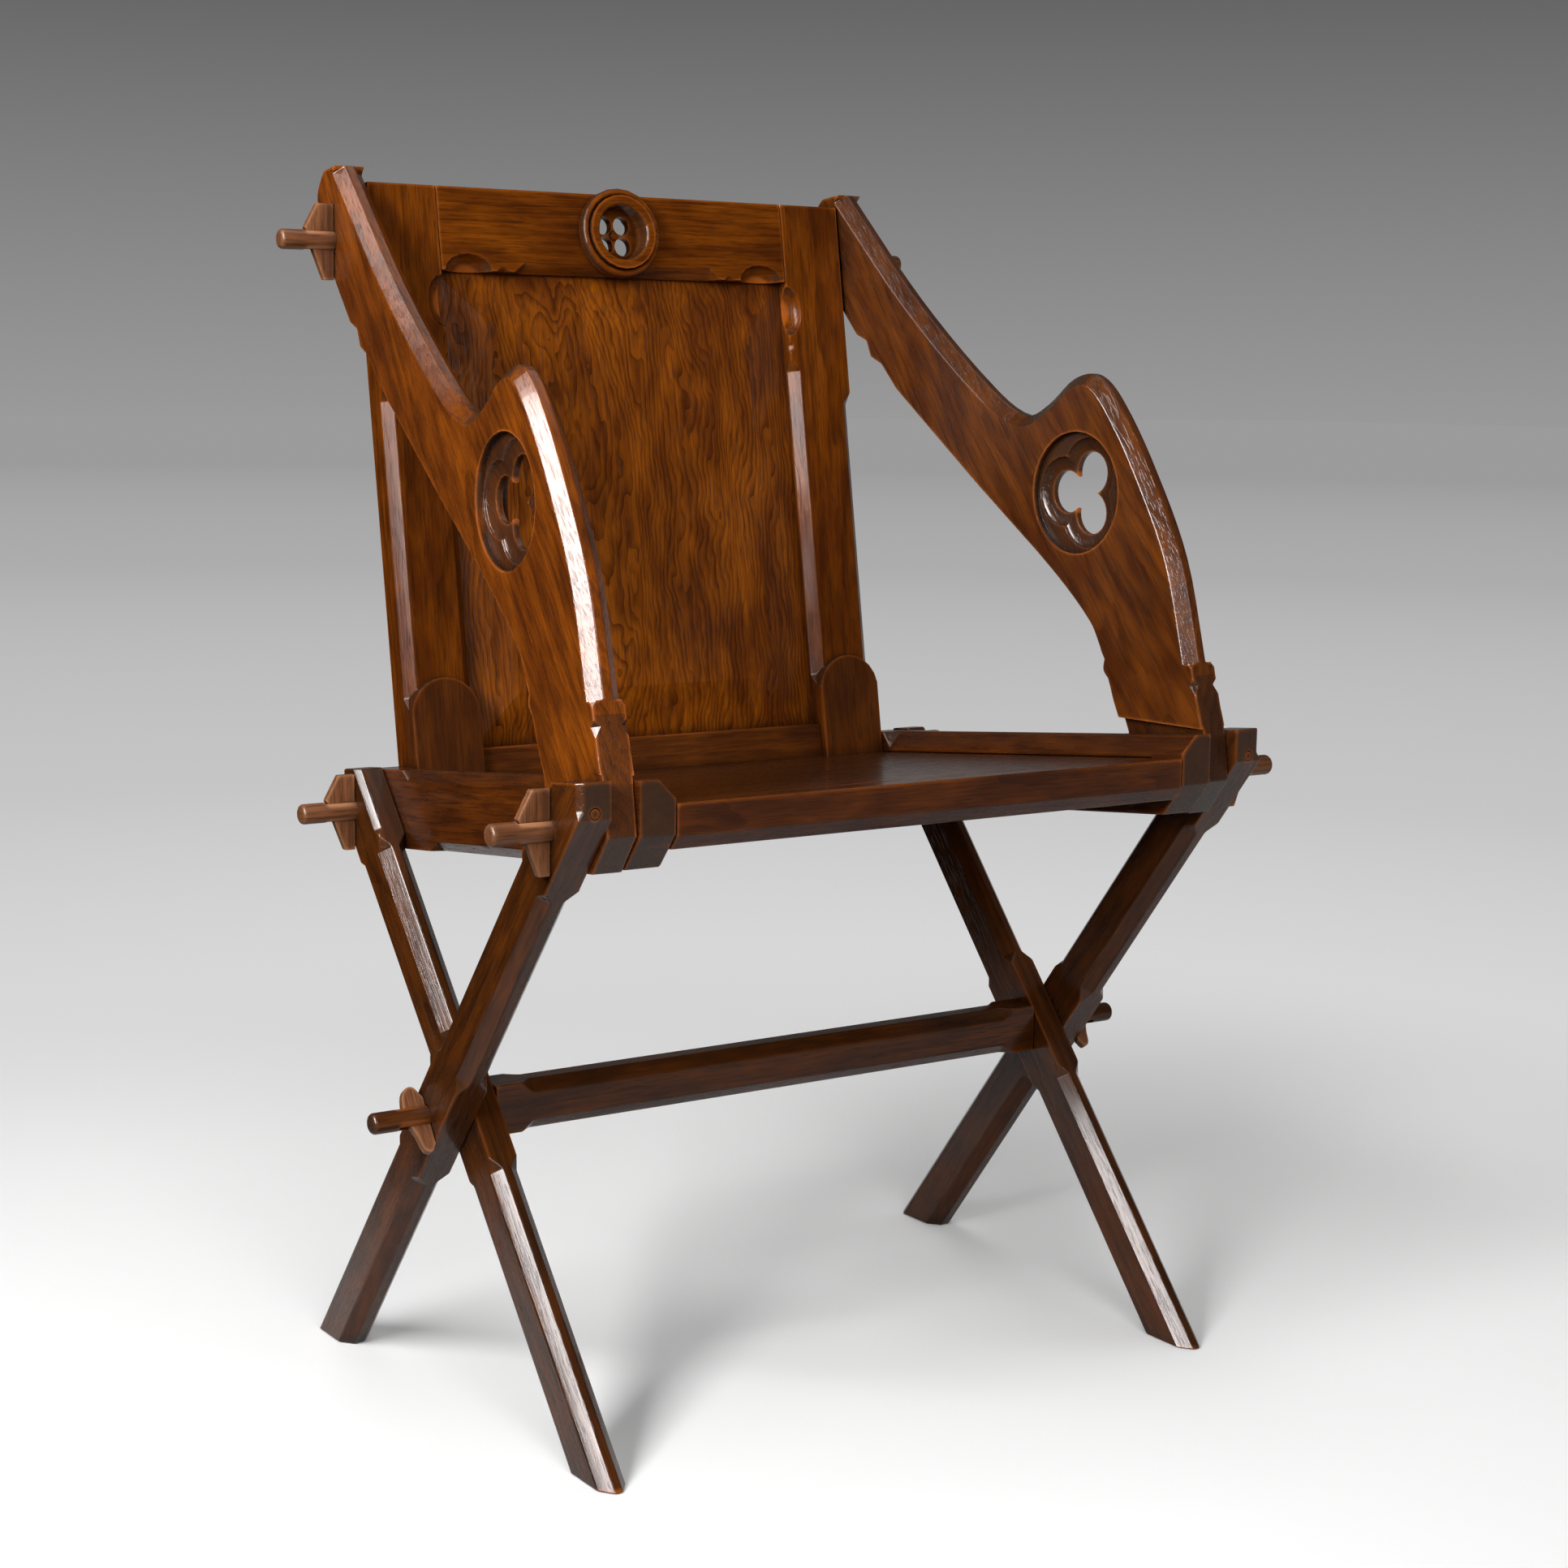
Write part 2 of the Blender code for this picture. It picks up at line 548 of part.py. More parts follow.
def rear_leg():
    """Leg from the rear seat pin to the front floor, against the side rail."""
    frame, slope = leg_frame(REAR_PIN, REAR_LEG_LEAD)
    back = REAR_PIN.y + REAR_HEAD_BACK

    def head(middle, half):
        """Head points: front top, rear top, knee under the upright rear face."""
        front_line, rear_line = (middle.y - half, middle.z), (middle.y + half, middle.z)
        top_line = (SEAT_FRONT, SEAT_TOP + HEAD_OVER_RAIL)
        front = meet(top_line, -1 / math.tan(SEAT_SLOPE), front_line, slope)
        return [front, (back, rail_top(back) + HEAD_OVER_RAIL), meet((back, 0), 0, rear_line, slope)]

    outline = leg_outline(frame, slope, head)
    leg = prism("leg_rear_right", outline, REAR_LEG_INNER, REAR_LEG_OUTER, WORLD, IN_SIDE)
    run = (REAR_PIN - CROSS_PIN).length
    foot = -(frame.translation.z / math.cos(math.atan(slope)) + LEG_WIDTH)
    chamfer_leg(leg, frame, REAR_LEG_INNER, REAR_LEG_OUTER, run - HEAD_BLOCK, foot)
    stop_chamfer(leg, (REAR_LEG_OUTER, -LEG_WIDTH / 2, run - HEAD_BLOCK),
                 (REAR_LEG_OUTER, -LEG_WIDTH / 2, run + 2 * LEG_WIDTH), (-1, 0, 0), (0, 1, 0),
                 LEG_HEAD_CHAMFER, frame)
    for pin in (REAR_PIN, CROSS_PIN):
        drill(leg, (REAR_LEG_INNER - PAST, pin.y, pin.z), (REAR_LEG_OUTER + PAST, pin.y, pin.z),
              PIN_RADIUS + CLEAR, WORLD)
    pair(leg, "leg")


def peg_place():
    """Front end of the right-hand peg in the front leg head."""
    middle = (FRONT_LEG_INNER + FRONT_LEG_OUTER) / 2
    return Vector((middle, SEAT_FRONT - LEG_HEAD_PROUD, FRONT_PIN.z + PIN_RADIUS + 2 * PEG_RADIUS))


def leg_pegs():
    """Small pegs driven into the front leg heads."""
    start = peg_place()
    pair(rod("leg_peg_right", start, start + Vector((0, PEG_LENGTH, 0)), PEG_RADIUS, WORLD, 12), "pin")


def dome(length):
    """Profile of a pin's rounded tip, top to bottom."""
    steps = 4
    points = []
    for step in range(steps + 1):
        angle = math.radians(90) * step / steps
        radius = PIN_RADIUS - PIN_DOME + PIN_DOME * math.sin(angle)
        points.append((radius, length - PIN_DOME + PIN_DOME * math.cos(angle)))
    return [(0, length), *points]


def key_outline():
    """Key drawn from its straight inner edge: width out from the leg, and height on the pin."""
    return [(0, -KEY_DROP), (KEY_FOOT, -KEY_DROP), (KEY_WIDE, KEY_RISE / 3),
            (KEY_HEAD, KEY_RISE), (0, KEY_RISE)]


def leaf_outline():
    """Leaf-shaped key of the stretcher, drawn as the other keys are."""
    return [(0, -LEAF_DROP + LEAF_WIDE / 3, False), (LEAF_WIDE / 3, -LEAF_DROP, True),
            (LEAF_WIDE * 0.7, -LEAF_DROP / 2, True), (LEAF_WIDE, LEAF_RISE / 3, True),
            (LEAF_WIDE / 2, LEAF_RISE, True), (0, LEAF_RISE - LEAF_WIDE / 2, False)]


def pin_and_key(place, start, stand, outline, tilt):
    """Pin through the layers at one corner, with the key through its slot.

    start is where the pin begins, stand the outer face that the key bears on.
    """
    name, axis = place
    turn = Matrix.Translation((0, axis.y, axis.z)) @ Matrix.Rotation(-tilt, 4, "X")
    key = prism(f"key_{name}_right", outline, -KEY_THICK / 2, KEY_THICK / 2,
                turn @ Matrix.Translation((stand + CLEAR, 0, 0)), IN_FRONT)
    half_slot = KEY_THICK / 2 + CLEAR
    slot = box("key_slot", (stand, -half_slot, -2 * PIN_RADIUS),
               (stand + KEY_WIDE + 2 * CLEAR, half_slot, 2 * PIN_RADIUS), turn)
    if start is not None:
        length = stand + PIN_STANDOUT - start
        along = Matrix.Translation((start, axis.y, axis.z)) @ Matrix.Rotation(math.pi / 2, 4, "Y")
        pin = turned(f"pin_{name}_right", [*dome(length), (PIN_RADIUS, 0), (0, 0)], along)
        cut(pin, slot)
        pair(pin, "pin")
    pair(key, "pin")
    return slot


def pins_and_keys():
    """The six loose pins and all eight keys."""
    arm_face = ARM @ Vector((ARM_THICK, 0, 0))
    top_stand = arm_face.x - (TOP_PIN.y - KEY_THICK / 2 - arm_face.y) * math.tan(ARM_TOE)
    pin_and_key(("front", FRONT_PIN), FRONT_PIN_START, FRONT_LEG_OUTER, key_outline(), 0)
    pin_and_key(("rear", REAR_PIN), BACK_PIN_START, REAR_LEG_OUTER, key_outline(), 0)
    pin_and_key(("top", TOP_PIN), BACK_PIN_START, top_stand, key_outline(), 0)
    return pin_and_key(("stretcher", CROSS_PIN), None, FRONT_LEG_OUTER, leaf_outline(),
                       STRETCHER_KEY_TILT)


def stretcher(slot):
    """Chamfered stretcher, with round tenons that run out through both legs and their keys."""
    half = SEAT_HALF_WIDTH
    frame = Matrix.Translation(CROSS_PIN)
    deep, high = STRETCHER_DEPTH / 2, STRETCHER_HEIGHT / 2
    bar = box("stretcher", (-half, -deep, -high), (half, deep, high), frame)
    for y in (-deep, deep):
        for z in (-high, high):
            stop_chamfer(bar, (-half + STRETCHER_BLOCK, y, z), (half - STRETCHER_BLOCK, y, z),
                         (0, -math.copysign(1, y), 0), (0, 0, -math.copysign(1, z)),
                         STRETCHER_CHAMFER, frame)
    reach = FRONT_LEG_OUTER + PIN_STANDOUT
    tip = [(radius, height - reach) for radius, height in dome(2 * reach)]
    tail = [(radius, -height) for radius, height in reversed(tip)]
    tenon = turned("stretcher_tenons", [*tip, *tail], frame @ Matrix.Rotation(math.pi / 2, 4, "Y"))
    join(bar, tenon)
    cut(bar, mirrored(slot))
    cut(bar, slot)
    finish(bar, "leg")


def back_tenon(grow, top, low):
    """Corners of a back rail's tenon at the right-hand end, between two levels."""
    front = BACK_THICK / 2 - BACK_TENON_THICK / 2
    return ((STILE_INNER - TENON_ROOT, front - grow, low + TENON_SHOULDER - grow),
            (STILE_INNER + BACK_TENON + grow, front + BACK_TENON_THICK + grow,
             top - TENON_SHOULDER + grow))


def panel_slab(grow):
    """Corners of the panel's edge, grown by a fit."""
    half = STILE_INNER + PANEL_TONGUE + grow
    return ((-half, PANEL_SET - grow, PANEL_BOTTOM - PANEL_TONGUE - grow),
            (half, PANEL_SET + PANEL_THICK + grow, PANEL_TOP + PANEL_TONGUE + grow))


def lobe(piece, middle, along):
    """Scoop half an ellipsoid out of an edge of the back; along runs along the edge."""
    shape = bmesh.new()
    bmesh.ops.create_uvsphere(shape, u_segments=16, v_segments=10, radius=1)
    along = Vector(along)
    depth = Vector((0, 1, 0))
    turn = Matrix((along, depth.cross(along), depth)).transposed().to_4x4()
    bmesh.ops.scale(shape, vec=(LOBE_HALF_LENGTH, LOBE_WIDTH, LOBE_DEPTH), verts=shape.verts)
    mesh = bpy.data.meshes.new("lobe")
    shape.to_mesh(mesh)
    shape.free()
    cut(piece, mesh_object("lobe", mesh, BACK @ Matrix.Translation(middle) @ turn))


def edge_ornament(piece, corner, along, into, length, both_ends):
    """Scooped lobe, bead and stopped chamfer along a front edge of the back frame."""
    corner, along = Vector(corner), Vector(along)
    inset = 2 * LOBE_HALF_LENGTH + 3 * BEAD_SIZE + BEAD_LENGTH
    ends = [(corner, 1), (corner + along * length, -1)]
    for end, way in ends if both_ends else ends[:1]:
        lobe(piece, end + along * way * (BEAD_SIZE + LOBE_HALF_LENGTH), along)
        bead = end + along * way * (2 * LOBE_HALF_LENGTH + 2 * BEAD_SIZE)
        tip = bead + along * way * BEAD_LENGTH
        stop_chamfer(piece, bead, tip, into, (0, 1, 0), BEAD_SIZE, BACK)
    chamfer_end = corner + along * (length - (inset if both_ends else 0))
    stop_chamfer(piece, corner + along * inset, chamfer_end, into, (0, 1, 0), BACK_CHAMFER, BACK)


def stile():
    """Back stile: full-height post with an arched block at the seat."""
    post = box("stile_right", (STILE_INNER, 0, -STILE_LENGTH), (BACK_HALF_WIDTH, BACK_THICK, 0), BACK)
    half = STILE_WIDTH / 2
    middle = BACK_HALF_WIDTH - half
    radius = (half ** 2 + ARCH_RISE ** 2) / (2 * ARCH_RISE)
    spread = math.asin(half / radius)
    steps = 10
    arch = [(middle - half, -STILE_LENGTH), (middle + half, -STILE_LENGTH)]
    for step in range(steps + 1):
        angle = spread * (1 - 2 * step / steps)
        arch.append((middle + radius * math.sin(angle),
                     -STILE_BLOCK_TOP - radius * (1 - math.cos(angle))))
    chamfer_low = -STILE_BLOCK_TOP - ARCH_RISE + CLEAR
    length = -PANEL_TOP + chamfer_low
    edge_ornament(post, (STILE_INNER, 0, PANEL_TOP), (0, 0, -1), (1, 0, 0), -length, False)
    outer_top = -2.4 * TOP_RAIL_HEIGHT
    stop_chamfer(post, (BACK_HALF_WIDTH, 0, outer_top), (BACK_HALF_WIDTH, 0, chamfer_low),
                 (-1, 0, 0), (0, 1, 0), BACK_CHAMFER, BACK)
    join(post, prism("stile_block", arch, -BACK_THICK / 2, STILE_BLOCK_PROUD, BACK, IN_FRONT))
    cut(post, box("panel_groove", *panel_slab(CLEAR), BACK))
    for top, low in ((0, PANEL_TOP), (PANEL_BOTTOM, PANEL_BOTTOM - BOTTOM_RAIL_HEIGHT)):
        cut(post, box("back_mortise", *back_tenon(CLEAR, top, low), BACK))
    for pin in (TOP_PIN, REAR_PIN):
        drill(post, (BACK_PIN_START - CLEAR, pin.y, pin.z),
              (BACK_HALF_WIDTH + PAST, pin.y, pin.z), PIN_RADIUS + CLEAR, WORLD)
    pair(post, "frame")


def back_rail(name, top, low):
    """Rail between the stiles, with a tenon at each end and a groove for the panel."""
    half = STILE_INNER - CLEAR
    rail = box(name, (-half, 0, low), (half, BACK_THICK, top), BACK)
    tenon_low, tenon_high = back_tenon(0, top, low)
    for side in (-1, 1):
        ends = sorted((side * tenon_low[0], side * tenon_high[0]))
        join(rail, box(name + "_tenon", (ends[0], *tenon_low[1:]), (ends[1], *tenon_high[1:]), BACK))
    cut(rail, box("panel_groove", *panel_slab(CLEAR), BACK))
    return rail


def back_rails():
    """Top rail with its pierced crest and scooped lower edge, and bottom rail."""
    top = back_rail("top_rail", 0, PANEL_TOP)
    half = STILE_INNER - CLEAR
    edge_ornament(top, (-half, 0, PANEL_TOP), (1, 0, 0), (0, 0, 1), 2 * half, True)
    drill(top, (0, -PAST, -ROUNDEL_DOWN), (0, BACK_THICK + PAST, -ROUNDEL_DOWN),
          ROUNDEL_WELL + ROUNDEL_WALL + CLEAR, BACK)
    finish(top, "frame")
    low = PANEL_BOTTOM - BOTTOM_RAIL_HEIGHT
    finish(back_rail("bottom_rail", PANEL_BOTTOM, low), "frame")


def back_panel():
    """Fielded panel: edges in the frame's grooves, wide bevels up to a raised field."""
    low, high = panel_slab(0)
    panel = box("back_panel", low, high, BACK)
    shape = bmesh.new()
    shape.from_mesh(panel.data)
    face = [side for side in shape.faces if side.normal.y < -0.9]
    bmesh.ops.inset_region(shape, faces=face, thickness=PANEL_TONGUE + CLEAR, use_even_offset=True)
    bmesh.ops.inset_region(shape, faces=face, thickness=FIELD_MARGIN, depth=FIELD_RISE,
                           use_even_offset=True)
    shape.to_mesh(panel.data)
    shape.free()
    finish(panel, "panel")


def crest_roundel():
    """Turned and pierced roundel planted on the top rail, its spigot in the rail."""
    arris = ROUNDEL_BEAD / 2
    land = ROUNDEL_RADIUS - 2 * ROUNDEL_BEAD
    profile = [(0, ROUNDEL_WEB * 0.45 - ROUNDEL_SUNK),
               (BOSS_RADIUS * 0.7, ROUNDEL_WEB * 0.3 - ROUNDEL_SUNK), (BOSS_RADIUS, -ROUNDEL_SUNK),
               (ROUNDEL_WELL, -ROUNDEL_SUNK), (ROUNDEL_WELL, ROUNDEL_PROUD - arris),
               (ROUNDEL_WELL + arris, ROUNDEL_PROUD), (land, ROUNDEL_PROUD)]
    steps = 5
    for step in range(steps + 1):
        angle = math.pi * (0.9 - 0.9 * step / steps)
        profile.append((ROUNDEL_RADIUS - ROUNDEL_BEAD + ROUNDEL_BEAD * math.cos(angle),
                        ROUNDEL_PROUD / 2 + ROUNDEL_BEAD * math.sin(angle)))
    spigot, low = ROUNDEL_WELL + ROUNDEL_WALL, -ROUNDEL_SUNK - ROUNDEL_WEB
    profile += [(ROUNDEL_RADIUS, CLEAR), (spigot, CLEAR), (spigot, low), (0, low)]
    face = BACK @ Matrix.Translation((0, 0, -ROUNDEL_DOWN)) @ Matrix.Rotation(math.pi / 2, 4, "X")
    roundel = turned("crest_roundel", profile, face)
    for x in (-FOIL_OFFSET, FOIL_OFFSET):
        for y in (-FOIL_OFFSET, FOIL_OFFSET):
            drill(roundel, (x, y, low - PAST), (x, y, ROUNDEL_PROUD), FOIL_RADIUS, face)
    finish(roundel, "frame")


def flowing(knots):
    """Sample a smooth run through knots, each passed in the direction of its neighbours."""
    points = []
    for i in range(len(knots) - 1):
        before, here = knots[max(i - 1, 0)], knots[i]
        ahead, after = knots[i + 1], knots[min(i + 2, len(knots) - 1)]
        third = (ahead - here).length / 3
        points += interpolate_bezier(here, here + (ahead - before).normalized() * third,
                                     ahead - (after - here).normalized() * third, ahead,
                                     OUTLINE_STEPS)[:-1]
    return [*points, knots[-1]]


def placed(station, offsets):
    """Knots of an arm's outline, as offsets towards the back and up from a station."""
    return [station + Vector(offset) for offset in offsets]


def arm_edges():
    """Upper and lower edges of an arm, from its top end to the chamfer stop and back.

    The arm is laid out round three stations: the top pin, the trefoil, and the front pin.
    """
    head, elbow, foot = TOP_PIN.yz, Vector((TREFOIL_BACK, TREFOIL_HEIGHT)), FRONT_PIN.yz
    top, low = head + Vector((-0.006, 0.055)), elbow + Vector((0.110, 0.0780))
    sweep = (top + low) / 2 - Vector((0, ARM_SAG / 2))
    dip = placed(elbow, ((0.066, 0.0572), (0.040, 0.0665)))
    front = placed(elbow, ((0.0135, 0.0855), (-0.011, 0.0885), (-0.036, 0.0680), (-0.0725, 0.0170),
                           (-0.106, -0.0440)))
    stop = foot + Vector((-0.012, 0.082))
    upper = flowing([top, sweep, low, *dip, *front, stop])
    nose = flowing(placed(foot, ((-0.014, 0.074), (-0.020, 0.052), (-0.027, 0.030))))
    sole = placed(foot, ((-0.032, -0.003), (-0.013, -0.029), (0.050, -0.035), (0.056, 0.024)))
    ogee = flowing(placed(foot, ((0.063, 0.038), (0.068, 0.048), (0.071, 0.056))))
    bead = flowing(placed(foot, ((0.074, 0.063), (0.079, 0.069), (0.078, 0.077))))
    belly = flowing([foot + Vector((0.082, 0.083)), *placed(elbow, ((-0.020, -0.096), (0.024, -0.059))),
                     *placed(head, ((-0.191, -0.179), (-0.086, -0.104)))])
    steps = placed(head, ((-0.066, -0.084), (-0.052, -0.078), (-0.046, -0.065), (-0.033, -0.060)))
    tail = flowing(placed(head, ((0.003, -0.022), (0.023, 0.012), (0.030, 0.035), (0.017, 0.052))))
    return upper, [*nose, *sole, *ogee, *bead, *belly, *steps, *tail]


def poly_curve(name, points, dimensions, closed):
    """Return a linked curve object through points."""
    curve = bpy.data.curves.new(name, "CURVE")
    curve.dimensions = dimensions
    spline = curve.splines.new("POLY")
    spline.points.add(len(points) - 1)
    spline.use_cyclic_u = closed
    for knot, point in zip(spline.points, points):
        knot.co = (*point, 1)
    drawn = bpy.data.objects.new(name, curve)
    bpy.context.scene.collection.objects.link(drawn)
    return drawn


def arm_edge_cutter(path, level, way):
    """Three-cornered bar swept along an arm's upper edge, on one face, to plane its chamfer.

    way is 1 where the arm's thickness rises from the level, and -1 where it falls.
    """
    loose = ARM_CHAMFER / 2
    reach = ARM_CHAMFER + loose
    corners = [(loose, -way * loose, 0), (-reach, -way * loose, 0), (loose, way * reach, 0)]
    section = poly_curve("arm_chamfer_section", corners, "2D", True)
    sweep = poly_curve("arm_chamfer", [(*point, level) for point in path], "3D", False)
    sweep.data.twist_mode = "Z_UP"
    sweep.data.bevel_mode = "OBJECT"
    sweep.data.bevel_object = section
    sweep.data.use_fill_caps = True
    mesh = evaluated_mesh(sweep)
    bpy.data.objects.remove(sweep)
    bpy.data.objects.remove(section)
    shape = bmesh.new()
    shape.from_mesh(mesh)
    bmesh.ops.recalc_face_normals(shape, faces=shape.faces)
    shape.to_mesh(mesh)
    shape.free()
    return mesh_object("arm_chamfer", mesh, ARM @ IN_SIDE)


def arm():
    """Shaped arm with a sunk, pierced trefoil and chamfered upper edges."""
    upper, lower = arm_edges()
    board = prism("arm_right", [*map(tuple, upper), *map(tuple, lower)], 0, ARM_THICK, ARM, IN_SIDE)
    for level, way in ((0, 1), (ARM_THICK, -1)):
        cut(board, arm_edge_cutter(upper, level, way))
    centre = Vector((0, TREFOIL_BACK, TREFOIL_HEIGHT))
    across = Vector((1, 0, 0))
    for face, way in ((0, 1), (ARM_THICK, -1)):
        cut(board, rod("roundel_sink", centre + across * (face - way * PAST),
                       centre + across * (face + way * TREFOIL_SINK), TREFOIL_RADIUS, ARM, 48))
    drill(board, centre - across * PAST, centre + across * (ARM_THICK + PAST), LOBE_OPENING / 2, ARM)
    for turn in (0, 120, 240):
        angle = math.radians(turn)
        leaf = centre + Vector((0, math.cos(angle), math.sin(angle))) * LOBE_OFFSET
        for way in (1, -1):
            cut(board, hollow(leaf + across * ARM_THICK / 2, -across * way))
    for level, way in ((0, 1), (ARM_THICK, -1)):
        foot_drops(board, upper[-1], lower[0], level, way)
    clear_foot(board)
    for pin in (FRONT_PIN, TOP_PIN):
        drill(board, (BACK_HALF_WIDTH - PAST, pin.y, pin.z), (FRONT_LEG_OUTER + PAST, pin.y, pin.z),
              PIN_RADIUS + CLEAR, WORLD)
    # The swept chamfers leave thin facets, which this solver keeps closed.
    for step in board.modifiers:
        step.solver = "MANIFOLD"
    pair(board, "arm")


def hollow(centre, outward):
    """Cutter for one lobe of the trefoil: a hollow from its sunk floor, through the arm's middle."""
    floor = ARM_THICK / 2 - TREFOIL_SINK
    edge = LOBE_OPENING + LOBE_DRAFT
    profile = [(0, floor + TREFOIL_SINK / 4), (LOBE_FLARE, floor + TREFOIL_SINK / 4)]
    steps = 4
    for step in range(steps + 1):
        angle = math.pi / 2 * step / steps
        profile.append((edge + (LOBE_FLARE - edge) * math.cos(angle),
                        floor - (floor - LOBE_EDGE) * math.sin(angle)))
    profile += [(LOBE_OPENING - LOBE_DRAFT, -LOBE_EDGE), (0, -LOBE_EDGE)]
    turn = outward.to_track_quat("Z", "Y").to_matrix().to_4x4()
    return turned("lobe_hollow", profile, ARM @ Matrix.Translation(centre) @ turn)


def foot_drops(board, stop, below, level, way):
    """Carve a short taper and a drop down the edge of an arm's foot, below the chamfer's stop."""
    stop, down = Vector((level, *stop)), Vector((0, *(below - stop).normalized()))
    into = Vector((way, 0, 0)).cross(down) * way
    across = (way, 0, 0)
    stop_chamfer(board, stop - down * DROP_SIZE, stop + down * DROP_SIZE, across, into,
                 DROP_SIZE * 0.7, ARM, 0, 1.2)
    start = stop + down * DROP_LENGTH
    stop_chamfer(board, start, start + down * DROP_LENGTH, across, into, DROP_SIZE, ARM, 1.0, 1.6)


def clear_foot(board):
    """Plane the foot flat on both cheeks, to lie between the side rail and the front leg."""
    front, back = SEAT_FRONT - LEG_WIDTH, FRONT_PIN.y + 2 * LEG_WIDTH
    top = rail_top(SEAT_FRONT) + HEAD_OVER_RAIL + CLEAR
    cut(board, box("rail_cheek", (RAIL_INNER, front, CROSS_Z), (SEAT_HALF_WIDTH + CLEAR, back, top), WORLD))
    cut(board, box("leg_cheek", (REAR_LEG_OUTER, front, CROSS_Z),
                   (FRONT_LEG_OUTER, back, top + HEAD_OVER_RAIL), WORLD))


def build():
    """Model the chair."""
    side_rail()
    seat_rails()
    seat_board()
    front_leg()
    rear_leg()
    leg_pegs()
    slot = pins_and_keys()
    stretcher(slot)
    stile()
    back_rails()
    back_panel()
    crest_roundel()
    arm()


remove_everything()
PARTS = collection("glastonbury_chair")
CUTTERS = collection("cutters")
build()
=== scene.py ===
"""Looks of an old oak armchair of the Glastonbury pattern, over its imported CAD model.

Each CAD node is stood for by a copy whose sharp edges are rounded as handled oak is, and
each copy is finished in polished oak with the grain laid along that piece of timber.
"""

import logging
import math
from dataclasses import dataclass, field
from enum import Enum

import bpy
from mathutils import Matrix, Vector
from mathutils.geometry import intersect_line_line_2d, intersect_point_line


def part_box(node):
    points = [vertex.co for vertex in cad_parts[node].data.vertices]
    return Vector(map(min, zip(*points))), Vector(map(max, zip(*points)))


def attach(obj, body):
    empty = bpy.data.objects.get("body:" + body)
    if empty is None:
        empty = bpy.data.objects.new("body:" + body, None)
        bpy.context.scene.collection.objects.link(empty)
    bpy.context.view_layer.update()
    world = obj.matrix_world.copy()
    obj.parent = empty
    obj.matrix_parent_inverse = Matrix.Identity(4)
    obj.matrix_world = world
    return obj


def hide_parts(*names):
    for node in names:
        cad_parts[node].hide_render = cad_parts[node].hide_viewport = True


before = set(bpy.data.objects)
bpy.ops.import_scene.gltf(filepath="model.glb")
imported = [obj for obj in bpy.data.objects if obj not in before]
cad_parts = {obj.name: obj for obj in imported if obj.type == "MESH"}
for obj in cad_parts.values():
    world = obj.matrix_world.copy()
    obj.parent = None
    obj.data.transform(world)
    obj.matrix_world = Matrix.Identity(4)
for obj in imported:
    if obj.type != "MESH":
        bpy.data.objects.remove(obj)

logging.basicConfig(level=logging.INFO, format="%(message)s")
log = logging.getLogger("chair")

WAVE_PERIOD = math.tau / 20     # a Wave texture of scale 1 repeats over this length, in metres
ALONG_GRAIN = "along_grain"     # face attribute: how far a face looks along the grain
LOOKS_UP = "looks_up"           # face attribute: how far a face looks up
PAINTED_SHADE = "painted_shade"               # face attribute: share of painted shade, in the carving and low down
LEAST_FOLD = 5e-8               # turned slivers below this area, in square metres, can't be seen
GOLDEN_ANGLE = 2.399963         # turn of the tree's heart from one board to the next, in radians
HEART_STEP = 0.37               # step along the grain from one board to the next, in metres
HEART_AWAY = 0.085              # distance of the heart from the middle of a board, in metres


def linear(hexcode: str) -> tuple[float, float, float, float]:
    """Turn an sRGB hex colour into linear RGBA.

    Args:
        hexcode: Six hex digits with a leading hash.

    Returns:
        Linear red, green and blue, with an alpha of one.
    """
    parts = [int(hexcode[i:i + 2], 16) / 255 for i in (1, 3, 5)]
    values = [c / 12.92 if c <= 0.04045 else ((c + 0.055) / 1.055) ** 2.4 for c in parts]
    return (*values, 1.0)


def per_metre(along_mm: float, across_mm: float) -> tuple[float, float, float]:
    """Scale that makes a unit noise as long and as wide as a real feature.

    Args:
        along_mm: Length of the feature along the grain, in millimetres.
        across_mm: Width of the feature across the grain, in millimetres.

    Returns:
        Scale along the grain and twice across it, per metre.
    """
    return (1000 / along_mm, 1000 / across_mm, 1000 / across_mm)


def add_node(tree: bpy.types.NodeTree, kind: str, inputs: dict, **settings) -> bpy.types.Node:
    """Add a shader node with its settings, values and links.

    Args:
        tree: Node tree that takes the node.
        kind: Blender's node type.
        inputs: Socket name or number to a value, or to the output socket that feeds it.
        settings: Properties of the node itself.

    Returns:
        The new node.
    """
    node = tree.nodes.new(kind)
    for name, value in settings.items():
        setattr(node, name, value)
    for key, value in inputs.items():
        if isinstance(value, bpy.types.NodeSocket):
            tree.links.new(value, node.inputs[key])
        else:
            node.inputs[key].default_value = value
    return node


class GrainRun(Enum):
    """Direction of the grain in a piece of timber, in the chair's frame."""

    ACROSS = (1.0, 0.0, 0.0)
    UPRIGHT = (0.0, 0.0, 1.0)
    ALONG_SEAT = (0.0, 0.9943, -0.1063)
    UP_BACK = (0.0, 0.1633, 0.9866)
    UP_FRONT_LEG = (0.0, -0.6167, 0.7872)
    UP_REAR_LEG = (0.0, 0.6484, 0.7613)
    UP_ARM = (0.0, 0.6200, 0.7846)
    LEAF_KEY = (0.0, 0.5736, 0.8192)


